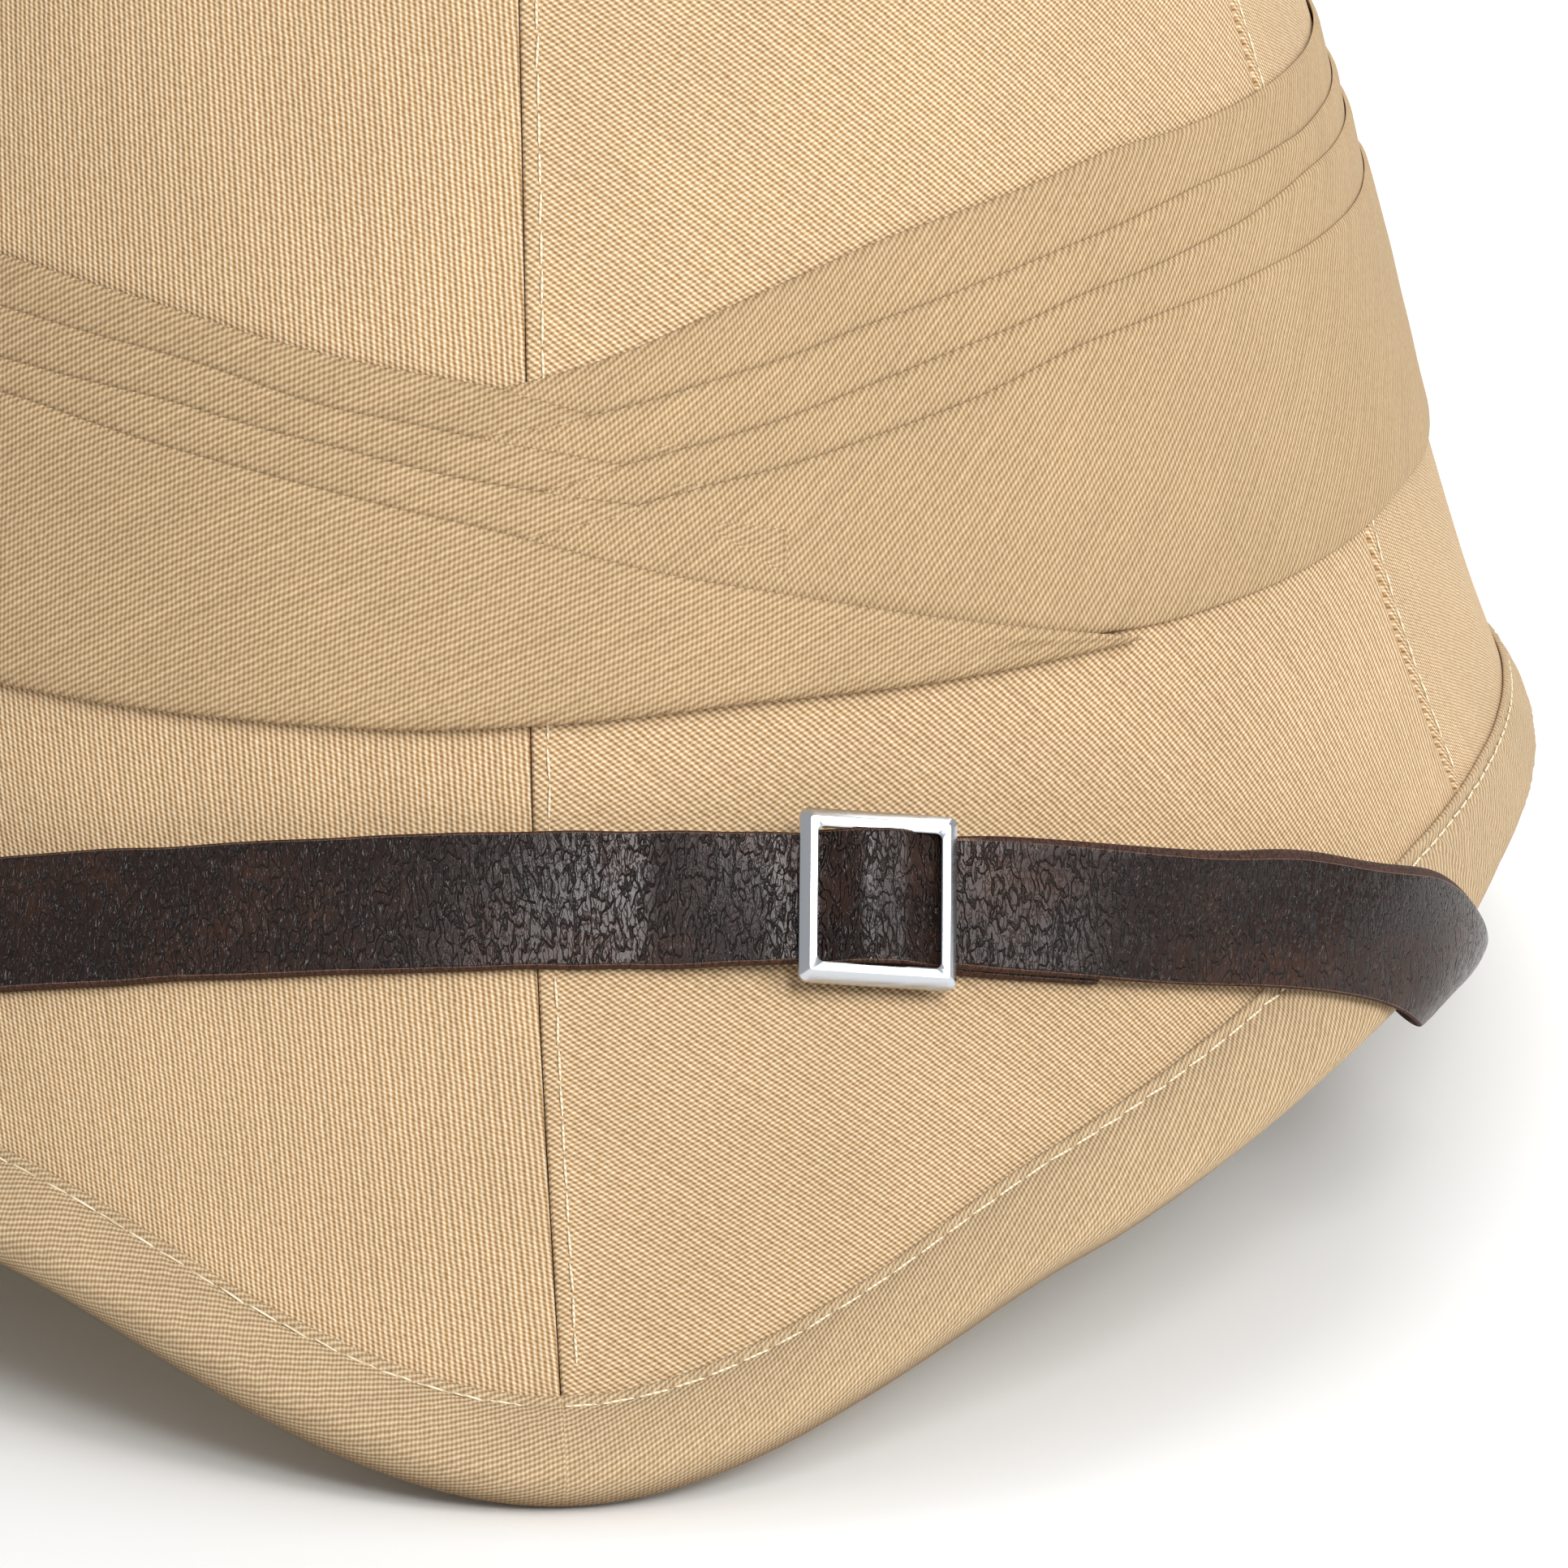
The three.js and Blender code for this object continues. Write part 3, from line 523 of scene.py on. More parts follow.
    def material(self) -> bpy.types.Material:
        """Builds the material."""
        tree = NodeTree(self.name)
        height, flat = self.weave(tree)
        tones = (self.gap_shade_colour, self.groove_shade_colour, self.thread_colour, self.float_highlight_colour)
        # Colour by the weave's height: painted shade low down, painted highlight on the floats' tops.
        colour = tree.ramp(height, list(zip((0.0, 0.3, 0.6, 0.95), tones)))
        slubs = tree.add("Mapping", {"Vector": flat, "Rotation": (0, 0, 0.6), "Scale": (1.9, 0.05, 1)})
        slub = tree.add("TexNoise", {"Vector": slubs.outputs[0], "Scale": 1.0, "Detail": 2.0})
        picks = tree.add("Mapping", {"Vector": flat, "Rotation": (0, 0, -0.97), "Scale": (1.7, 0.06, 1)})
        pick = tree.add("TexNoise", {"Vector": picks.outputs[0], "Scale": 1.0, "Detail": 2.0})
        cloud = tree.add("TexNoise", {"Vector": flat, "Scale": 0.035, "Detail": 4.0, "Roughness": 0.55})
        total = tree.add("Math", {0: slub.outputs[0], 1: pick.outputs[0]}, operation="ADD")
        total = tree.add("Math", {0: total.outputs[0], 1: cloud.outputs[0]}, operation="ADD")
        level = tree.add("MapRange", {"Value": total.outputs[0], 1: 1.0, 2: 2.0, 3: 0.88, 4: 1.12})
        grey = tree.add("CombineColor", {0: level.outputs[0], 1: level.outputs[0], 2: level.outputs[0]})
        tinted = tree.add(
            "Mix", {0: 1.0, 6: colour, 7: grey.outputs[0]}, data_type="RGBA", blend_type="MULTIPLY"
        ).outputs[2]
        if self.seamed:
            # Painted shade at the needle holes beside the seams.
            tinted = self.needle_hole_shade(tree, tinted)
        # Painted shade: darkens and greys the underside of the brim's edge through the binding's mask.
        if self.wear_and_shade:
            rubbing_and_shade = tree.add("Attribute", attribute_name="painted_underside_shade")
            underside_shade_mix = {0: rubbing_and_shade.outputs["Fac"], 6: tinted, 7: linear(self.underside_shade_colour)}
            tinted = tree.add("Mix", underside_shade_mix, data_type="RGBA", blend_type="MULTIPLY").outputs[2]
        bump = tree.add("Bump", {"Height": height, "Strength": 0.8, "Distance": self.relief * MM})
        return tree.finish(
            {
                "Base Color": tinted,
                "Roughness": 0.88,
                "Specular IOR Level": 0.2,
                "Sheen Weight": 0.08,
                "Sheen Roughness": 0.4,
                "Sheen Tint": linear("#fff3dc"),
                "Normal": bump.outputs[0],
            }
        )


@dataclass(frozen=True)
class SewingThread:
    """Twisted cotton sewing thread: paler than the cloth, dull, with its two plies just showing."""

    name: str = "cotton_thread_twisted"
    colour: str = "#f0e3c9"
    ply_groove_shade: str = "#c8b48c"
    ply_pitch: float = 0.55

    def material(self) -> bpy.types.Material:
        """Builds the material."""
        tree = NodeTree(self.name)
        place = tree.add("TexCoord")
        scaled = tree.add("Mapping", {"Vector": place.outputs["Object"], "Scale": (1 / MM / self.ply_pitch,) * 3})
        plies = {"Vector": scaled.outputs[0], "Scale": 0.35, "Distortion": 1.0}
        wave = tree.add("TexWave", plies, bands_direction="DIAGONAL")
        bump = tree.add("Bump", {"Height": wave.outputs[1], "Strength": 0.4, "Distance": 0.05 * MM})
        # Painted shade in the grooves between the plies; the plies keep the thread's own colour.
        colour = tree.ramp(wave.outputs[1], [(0.0, self.ply_groove_shade), (0.5, self.colour)])
        return tree.finish({"Base Color": colour, "Roughness": 0.8, "Normal": bump.outputs[0]})


@dataclass(frozen=True)
class PressedPith:
    """Moulded pith: pale, dry and matt, with short fibres pressed flat into it and small pits."""

    name: str = "pith_moulded"
    dark: str = "#b49b73"
    light: str = "#dccbaa"
    fibre: float = 3.5

    def material(self) -> bpy.types.Material:
        """Builds the material."""
        tree = NodeTree(self.name)
        place = tree.add("TexCoord")
        flat = tree.add("VectorMath", {0: place.outputs["Object"], "Scale": 1 / MM}, operation="SCALE").outputs[0]
        bent = tree.add("TexNoise", {"Vector": flat, "Scale": 0.12, "Detail": 3.0})
        fibres = tree.add(
            "TexNoise", {"Vector": flat, "Scale": 1 / self.fibre, "Detail": 6.0, "Roughness": 0.72, "Distortion": 1.6}
        )
        pits = tree.add("TexVoronoi", {"Vector": flat, "Scale": 0.55, "Randomness": 1.0})
        pitted = tree.add("MapRange", {"Value": pits.outputs[0], 1: 0.05, 2: 0.3})
        height = tree.add("Math", {0: fibres.outputs[0], 1: pitted.outputs[0]}, operation="MULTIPLY")
        mixed = tree.add("Math", {0: height.outputs[0], 1: bent.outputs[0]}, operation="ADD")
        level = tree.add("MapRange", {"Value": mixed.outputs[0], 1: 0.5, 2: 1.2})
        # The pits' darkness is painted shade; the fibre and cloud tones are the pith's own.
        colour = tree.ramp(level.outputs[0], [(0.0, self.dark), (1.0, self.light)])
        bump = tree.add("Bump", {"Height": height.outputs[0], "Strength": 0.7, "Distance": 0.35 * MM})
        shader = {"Base Color": colour, "Roughness": 0.93, "Specular IOR Level": 0.2, "Normal": bump.outputs[0]}
        return tree.finish(shader)


@dataclass(frozen=True)
class StrapLeather:
    """Dyed and glazed bridle leather: nearly black brown with warm patches, and raw cut edges of reddish fibre.

    Fine creases that run across it break up its soft gloss; painted shade darkens the creases' floors.
    """

    name: str = "leather_glazed"
    # Darkest hide tone for the raw edge's fibres, and painted shade in the creases.
    dark_fibre_and_crease_shade: str = "#0f0907"
    face: str = "#20130e"
    warm: str = "#361f14"
    raw: str = "#56372b"
    rim: str = "#a98672"
    crease_pitch: float = 0.8
    relief: float = 0.2

    def material(self) -> bpy.types.Material:
        """Builds the material."""
        tree = NodeTree(self.name)
        hide = tree.add("UVMap", uv_map="cloth")
        flat = tree.add("VectorMath", {0: hide.outputs[0], "Scale": 1 / MM}, operation="SCALE").outputs[0]
        folds = tree.add("Mapping", {"Vector": flat, "Scale": (1 / self.crease_pitch, 0.36 / self.crease_pitch, 1)})
        grooves = []
        for fine, width in ((1.0, 0.05), (1.9, 0.06)):
            crease = {"Vector": folds.outputs[0], "Scale": fine, "Detail": 1.5, "Roughness": 0.5, "Distortion": 0.5}
            wrinkle = tree.add("TexNoise", crease)
            middle = tree.add("Math", {0: wrinkle.outputs[0], 1: 0.5}, operation="SUBTRACT")
            away = tree.add("Math", {0: middle.outputs[0]}, operation="ABSOLUTE")
            ridge = {"Value": away.outputs[0], 1: 0.0, 2: width}
            grooves.append(tree.add("MapRange", ridge, interpolation_type="SMOOTHSTEP").outputs[0])
        pore = tree.add("TexNoise", {"Vector": flat, "Scale": 5.0, "Detail": 3.0, "Roughness": 0.6})
        dips = tree.add("Math", {0: grooves[1], 1: 0.28, 2: grooves[0]}, operation="MULTIPLY_ADD")
        height = tree.add("Math", {0: pore.outputs[0], 1: 0.1, 2: dips.outputs[0]}, operation="MULTIPLY_ADD")
        patch = tree.add("TexNoise", {"Vector": flat, "Scale": 0.075, "Detail": 5.0, "Roughness": 0.6})
        warmth = tree.add("MapRange", {"Value": patch.outputs[0], 1: 0.47, 2: 0.68})
        toned = tree.add("Mix", {0: warmth.outputs[0], 6: linear(self.face), 7: linear(self.warm)}, data_type="RGBA")
        # Painted shade darkens the creases' floors; the warm patches are the hide's own tone.
        crease_shaded = tree.add("Mix", {0: grooves[0], 6: linear(self.dark_fibre_and_crease_shade), 7: toned.outputs[2]}, data_type="RGBA")
        cut = tree.add("Attribute", attribute_name="raw_edge")
        fibre = tree.add("TexNoise", {"Vector": flat, "Scale": 3.4, "Detail": 4.0, "Roughness": 0.7})
        edge = tree.ramp(fibre.outputs[0], [(0.32, self.dark_fibre_and_crease_shade), (0.64, self.raw)])
        line = tree.ramp(cut.outputs["Fac"], [(0.2, "#000000"), (0.45, "#ffffff"), (0.7, "#000000")])
        broken = tree.add("Math", {0: line, 1: fibre.outputs[0]}, operation="MULTIPLY")
        colour = tree.add("Mix", {0: cut.outputs["Fac"], 6: crease_shaded.outputs[2], 7: edge}, data_type="RGBA").outputs[2]
        colour = tree.add("Mix", {0: broken.outputs[0], 6: colour, 7: linear(self.rim)}, data_type="RGBA").outputs[2]
        gloss = tree.add("MapRange", {"Value": patch.outputs[0], 1: 0.3, 2: 0.7, 3: 0.17, 4: 0.27})
        dull = tree.add("Math", {0: cut.outputs["Fac"], 1: 0.5, 2: gloss.outputs[0]}, operation="MULTIPLY_ADD")
        bump = tree.add("Bump", {"Height": height.outputs[0], "Strength": 0.8, "Distance": self.relief * MM})
        return tree.finish(
            {
                "Base Color": colour,
                "Roughness": dull.outputs[0],
                "Specular IOR Level": 0.3,
                "Normal": bump.outputs[0],
            }
        )


@dataclass(frozen=True)
class PressedMetal:
    """Pressed and tumbled metal: bright, with faint streaks from rubbing and soft wear, so its bevels catch the light.
    """

    name: str
    colour: str
    roughness: float
    streak: float = 0.25

    def material(self) -> bpy.types.Material:
        """Builds the material."""
        tree = NodeTree(self.name)
        place = tree.add("TexCoord")
        streaks = tree.add(
            "Mapping", {"Vector": place.outputs["Object"], "Scale": (0.25 / MM, 0.25 / MM, 1 / MM / self.streak)}
        )
        rubbing_and_shade = tree.add("TexNoise", {"Vector": streaks.outputs[0], "Scale": 1.0, "Detail": 4.0})
        wear = {"Value": rubbing_and_shade.outputs[0], 1: 0.3, 2: 0.7, 3: self.roughness * 0.75, 4: self.roughness * 1.3}
        wear_and_shade = tree.add("MapRange", wear).outputs[0]
        bump = tree.add("Bump", {"Height": rubbing_and_shade.outputs[0], "Strength": 0.15, "Distance": 0.03 * MM})
        shader = {"Base Color": linear(self.colour), "Metallic": 1.0, "Roughness": wear_and_shade, "Normal": bump.outputs[0]}
        return tree.finish(shader)


@dataclass(frozen=True)
class MattPaint:
    """Plain matt paint of the studio floor."""

    name: str = "paint_matt"
    colour: str = "#fefefd"

    def material(self) -> bpy.types.Material:
        """Builds the material."""
        shader = {"Base Color": linear(self.colour), "Roughness": 0.9, "Specular IOR Level": 0.1}
        return NodeTree(self.name).finish(shader)


def deselect() -> None:
    """Leaves nothing selected."""
    for thing in bpy.context.scene.objects:
        thing.select_set(False)


def activate(piece: bpy.types.Object) -> None:
    """Makes a piece the only one selected."""
    deselect()
    piece.select_set(True)
    bpy.context.view_layer.objects.active = piece


def grid_piece(
    name: str,
    points: Array,
    cloth: Array,
    wraps: tuple[bool, bool],
    seam: Array | None = None,
) -> bpy.types.Object:
    """Makes a mesh from a grid of points.

    Args:
        name: Name of the piece.
        points: Rows by columns by three, in millimetres over the crown's foot.
        cloth: Cloth coordinates in millimetres, one row or column more than the points where they wrap.
        wraps: Whether the last row joins the first, and the last column the first.
        seam: Distances from the seam, laid out as cloth is, or None.

    Returns:
        The piece, with its place in its mesh.
    """
    rows, columns = points.shape[:2]
    row, column = np.meshgrid(
        np.arange(rows if wraps[0] else rows - 1), np.arange(columns if wraps[1] else columns - 1), indexing="ij"
    )
    row_after, column_after = (row + 1) % rows, (column + 1) % columns
    corners = [(row, column), (row_after, column), (row_after, column_after), (row, column_after)]
    faces = np.stack([r * columns + c for r, c in corners], -1).reshape(-1, 4)
    mesh = bpy.data.meshes.new(name)
    placed = (points + HatForm().origin) * MM
    mesh.from_pydata(placed.reshape(-1, 3).tolist(), [], faces.tolist())
    for map_name, values in (("cloth", cloth), ("seam", seam)):
        if values is None:
            continue
        layer = mesh.uv_layers.new(name=map_name)
        steps = [(row, column), (row + 1, column), (row + 1, column + 1), (row, column + 1)]
        flat = np.stack([values[r, c] for r, c in steps], -2).reshape(-1, 2) * MM
        layer.data.foreach_set("uv", flat.ravel().astype(np.float32))
    mesh.polygons.foreach_set("use_smooth", np.ones(len(faces), bool))
    mesh.update()
    piece = bpy.data.objects.new(name, mesh)
    bpy.context.scene.collection.objects.link(piece)
    return piece


def close_ends(piece: bpy.types.Object) -> None:
    """Fills the open ends of a tube."""
    activate(piece)
    bpy.ops.object.mode_set(mode="EDIT")
    bpy.ops.mesh.select_mode(type="VERT")
    bpy.ops.mesh.select_all(action="DESELECT")
    bpy.ops.mesh.select_non_manifold()
    bpy.ops.mesh.fill_holes(sides=0)
    bpy.ops.object.mode_set(mode="OBJECT")


def face_outwards(piece: bpy.types.Object) -> None:
    """Turns a closed piece's faces outwards."""
    activate(piece)
    bpy.ops.object.mode_set(mode="EDIT")
    bpy.ops.mesh.select_all(action="SELECT")
    bpy.ops.mesh.normals_make_consistent(inside=False)
    bpy.ops.object.mode_set(mode="OBJECT")


def join(name: str, parts: list[bpy.types.Object]) -> bpy.types.Object:
    """Joins parts into one piece.

    Args:
        name: Name of the joined piece.
        parts: Its parts; the first one stays.

    Returns:
        The joined piece.
    """
    deselect()
    for part in parts:
        part.select_set(True)
    bpy.context.view_layer.objects.active = parts[0]
    if len(parts) > 1:
        bpy.ops.object.join()
    parts[0].name = name
    parts[0].data.name = name
    return parts[0]


def dress(piece: bpy.types.Object, material: bpy.types.Material, slot: str, *nodes: str) -> bpy.types.Object:
    """Gives a piece its material, its body and its place in the frame.

    Args:
        piece: The finished piece.
        material: Its finish.
        slot: The record's material slot.
        *nodes: The nodes of the frame that it stands for.

    Returns:
        The piece.
    """
    piece.data.materials.clear()
    piece.data.materials.append(material)
    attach(piece, BODY)
    if nodes:
        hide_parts(*nodes)
    LOG.info("%s: %d faces, slot %s", piece.name, len(piece.data.polygons), slot)
    return piece


def arc_lengths(points: Array, axis: int, start: int) -> Array:
    """Distances walked over a grid of points.

    Args:
        points: The grid.
        axis: The axis walked along.
        start: Index where the distance is zero.

    Returns:
        Signed distances.
    """
    steps = np.linalg.norm(np.diff(points, axis=axis), axis=-1)
    walked = np.concatenate([np.zeros_like(np.take(steps, [0], axis)), np.cumsum(steps, axis)], axis)
    return walked - np.take(walked, [start], axis)


def turned_cloth(across: Array, down: Array, climb: float) -> Array:
    """Cloth coordinates of places on a piece.

    Args:
        across: Distances along the piece.
        down: Distances down it.
        climb: How steeply its wales climb, in degrees from the level.

    Returns:
        Coordinates whose first one runs over the wales.
    """
    turn = math.radians(climb)
    cosine, sine = math.cos(turn), math.sin(turn)
    return np.stack([-across * sine - down * cosine, across * cosine - down * sine], -1)


@dataclass
class PithBody:
    """Moulded pith body, one wall from the ventilator's hole to the brim's edge."""

    form: HatForm
    sections: int = 240
    crown_rows: int = 44
    brim_rows: int = 24

    def build(self) -> bpy.types.Object:
        """Builds the body and dresses it."""
        form = self.form
        angle = np.arange(self.sections) * 360.0 / self.sections
        top = form.place_from_radius(form.vent_hole)
        crown = np.linspace(top, 1, self.crown_rows, endpoint=False)[None, :]
        last = form.place_from_edge(angle, np.full_like(angle, form.edge_setback))[:, None]
        share = np.linspace(0, 1, self.brim_rows)[None, :]
        places = np.concatenate([np.broadcast_to(crown, (self.sections, self.crown_rows)), 1 + (last - 1) * share], 1)
        turns = np.broadcast_to(angle[:, None], places.shape)
        waver = 0.08 * ripple(turns * 1.8, places * 120, 14.0, 3)
        outer = form.skin(turns, places, np.full(places.shape, -form.cover_depth))
        inner = form.skin(turns, places, -form.inner_depth + waver)[:, ::-1]
        points = np.concatenate([outer, inner], 1)
        cloth = np.zeros((self.sections + 1, points.shape[1] + 1, 2))
        piece = grid_piece("pith_body", points, cloth, (True, True))
        face_outwards(piece)
        return dress(piece, PressedPith().material(), "pith_body", "shell")


@dataclass
class CoverPanels:
    """Six panels of drill. Each is folded under along its first seam and stitched down beside it."""

    form: HatForm
    seams: int = 6
    crown_rows: int = 118
    brim_rows: int = 62
    middle_columns: int = 34
    thickness: float = 0.95
    fold_height: float = 0.24
    edge_roll: float = 0.46
    edge_slope: float = 0.12
    tucked_step: float = 0.34
    tucked_slope: float = 0.1
    needle_line: float = 0.09
    needle_pull: float = 0.05
    pucker: float = 0.035
    waver: float = 0.07
    waver_share: float = 1.03
    flat_size: tuple[float, float] = (0.13, 0.25)
    stitch_inset: float = 1.55
    stitch_pitch: float = 3.7
    start_offsets: tuple[float, ...] = (
        0.03, 0.05, 0.1, 0.18, 0.3, 0.5, 0.8, 1.1, 1.35, 1.55, 1.75, 2.0, 2.4, 3.0, 3.9, 5.0,
    )  # fmt: skip
    end_offsets: tuple[float, ...] = (4.2, 2.9, 1.9, 1.2, 0.7, 0.4, 0.2, 0.08, 0.03)
    weaves: tuple[Weave, ...] = (Weave.FLAT, Weave.STEEP, Weave.FLAT, Weave.STEEP, Weave.FLAT, Weave.STEEP)

    def rows(self, angle: Array) -> Array:
        """Places of the rows at an angle, from the top down."""
        form = self.form
        top = form.place_from_radius(form.vent_hole)
        crown = np.linspace(top, 1, self.crown_rows, endpoint=False)
        last = form.place_from_edge(angle, np.full_like(angle, form.edge_setback))
        share = np.linspace(0, 1, self.brim_rows)
        shape = (self.crown_rows, *angle.shape[1:])
        brim = 1 + (last[self.crown_rows :] - 1) * share[:, None]
        return np.concatenate([np.broadcast_to(crown[:, None], shape), brim], 0)

    def millimetres_a_degree(self, angle: float, places: Array) -> Array:
        """Width of one degree at a seam."""
        step = 0.01
        return np.linalg.norm(self.form.point(angle + step, places) - self.form.point(angle, places), axis=-1) / step

    def columns(self, start: float, end: float) -> tuple[Array, Array, Array]:
        """Lays out the panel's columns.

        Args:
            start: Angle of its first seam.
            end: Angle of its last seam.

        Returns:
            Angles, and distances from the first and the last seam, each rows by columns.
        """
        rows = self.crown_rows + self.brim_rows
        places = self.rows(np.full((rows, 1), start))[:, 0]
        first, last = self.millimetres_a_degree(start, places), self.millimetres_a_degree(end, places)
        width = (first + last) / 2 * (end - start)
        squeeze = np.minimum(1, width / 24.0)[:, None]
        near = start + grow(list(self.start_offsets), (rows, len(self.start_offsets))) * squeeze / first[:, None]
        far = end - grow(list(self.end_offsets), (rows, len(self.end_offsets))) * squeeze / last[:, None]
        share = np.linspace(0, 1, self.middle_columns + 2)[1:-1]
        between = near[:, -1:] + (far[:, :1] - near[:, -1:]) * share
        angles = np.concatenate([near, between, far], 1)
        return angles, (angles - start) * first[:, None], (end - angles) * last[:, None]

    def seam_lift(self, from_start: Array, from_end: Array, along: Array) -> Array:
        """Height of the cloth beside its seams.

        Args:
            from_start: Distance from the folded seam.
            from_end: Distance from the next panel's seam.
            along: Distance along the seam.

        Returns:
            Lift over the plain surface.
        """
        ridge = self.fold_height * (1 - smoothstep(from_start, 1.2, 2.6))
        edge = self.edge_roll * (1 - smoothstep(from_start, 0.0, 0.2))
        edge = edge + self.edge_slope * (1 - smoothstep(from_start, 0.05, 0.8))
        line = np.exp(-(((from_start - self.stitch_inset) / 0.26) ** 2))
        pull = 0.5 - 0.5 * np.cos(2 * math.pi * along / self.stitch_pitch)
        pucker = self.pucker * np.cos(2 * math.pi * along / self.stitch_pitch + 0.6)
        spread = np.exp(-(((from_start - self.stitch_inset) / 1.5) ** 2))
        sunk = self.tucked_step * (1 - smoothstep(from_end, 0.0, 0.16))
        sunk = sunk + self.tucked_slope * (1 - smoothstep(from_end, 0.1, 1.4))
        return ridge - edge - line * (self.needle_line + self.needle_pull * pull) + pucker * spread - sunk

    def build(self) -> list[bpy.types.Object]:
        """Builds and dresses the six panels."""
        finish = CottonDrill(seamed=True, stitch_pitch=self.stitch_pitch, stitch_inset=self.stitch_inset).material()
        pieces = []
        for index in range(self.seams):
            start, end = index * 360.0 / self.seams, (index + 1) * 360.0 / self.seams
            angles, from_start, from_end = self.columns(start, end)
            places = self.rows(angles)
            base = self.form.point(angles, places)
            weave = self.weaves[index]
            across = arc_lengths(base, 1, 0 if weave is Weave.FLAT else angles.shape[1] - 1)
            down = arc_lengths(base, 0, self.crown_rows)
            seam_down = np.broadcast_to(down[:, :1], down.shape)
            lift = self.seam_lift(from_start, from_end, seam_down)
            lift = lift + self.waver * ripple(across, down, 26.0, 11 + index) * smoothstep(places, 0.2, 0.5)
            points = self.form.skin(angles, places, lift)
            cloth = turned_cloth(across, down, weave.value)
            seam = np.stack([from_start, seam_down], -1)
            piece = grid_piece(f"drill_panel_{index + 1}", points, cloth, (False, False), seam)
            self.thicken(piece)
            area = sum(polygon.area for polygon in piece.data.polygons) / 2
            dress(piece, finish, "khaki_drill", f"cover_panel_{index + 1}")
            area = round(area / self.waver_share, 4)
            pieces.append(piece)
        return pieces

    def thicken(self, piece: bpy.types.Object) -> None:
        """Gives a panel its cloth's thickness, inwards."""
        mesh = piece.data
        centre = mesh.polygons[len(mesh.polygons) // 2]
        if centre.normal.dot(Vector((centre.center.x, centre.center.y, 0.02))) < 0:
            mesh.flip_normals()
        activate(piece)
        wall = piece.modifiers.new("wall", "SOLIDIFY")
        wall.thickness = self.thickness * MM
        wall.offset = -1.0
        bpy.ops.object.modifier_apply(modifier=wall.name)


@dataclass(frozen=True)
class Fold:
    """One fold of the band, from its hidden start at the front, round the back, to its other end at the front.

    Edge holds angle and height of its top edge, foot those of the next edge down, and level angle and
    lift of its top edge over the cover.
    """

    edge: tuple[tuple[float, float], ...]
    foot: tuple[tuple[float, float], ...]
    level: tuple[tuple[float, float], ...]
    wide: bool = False


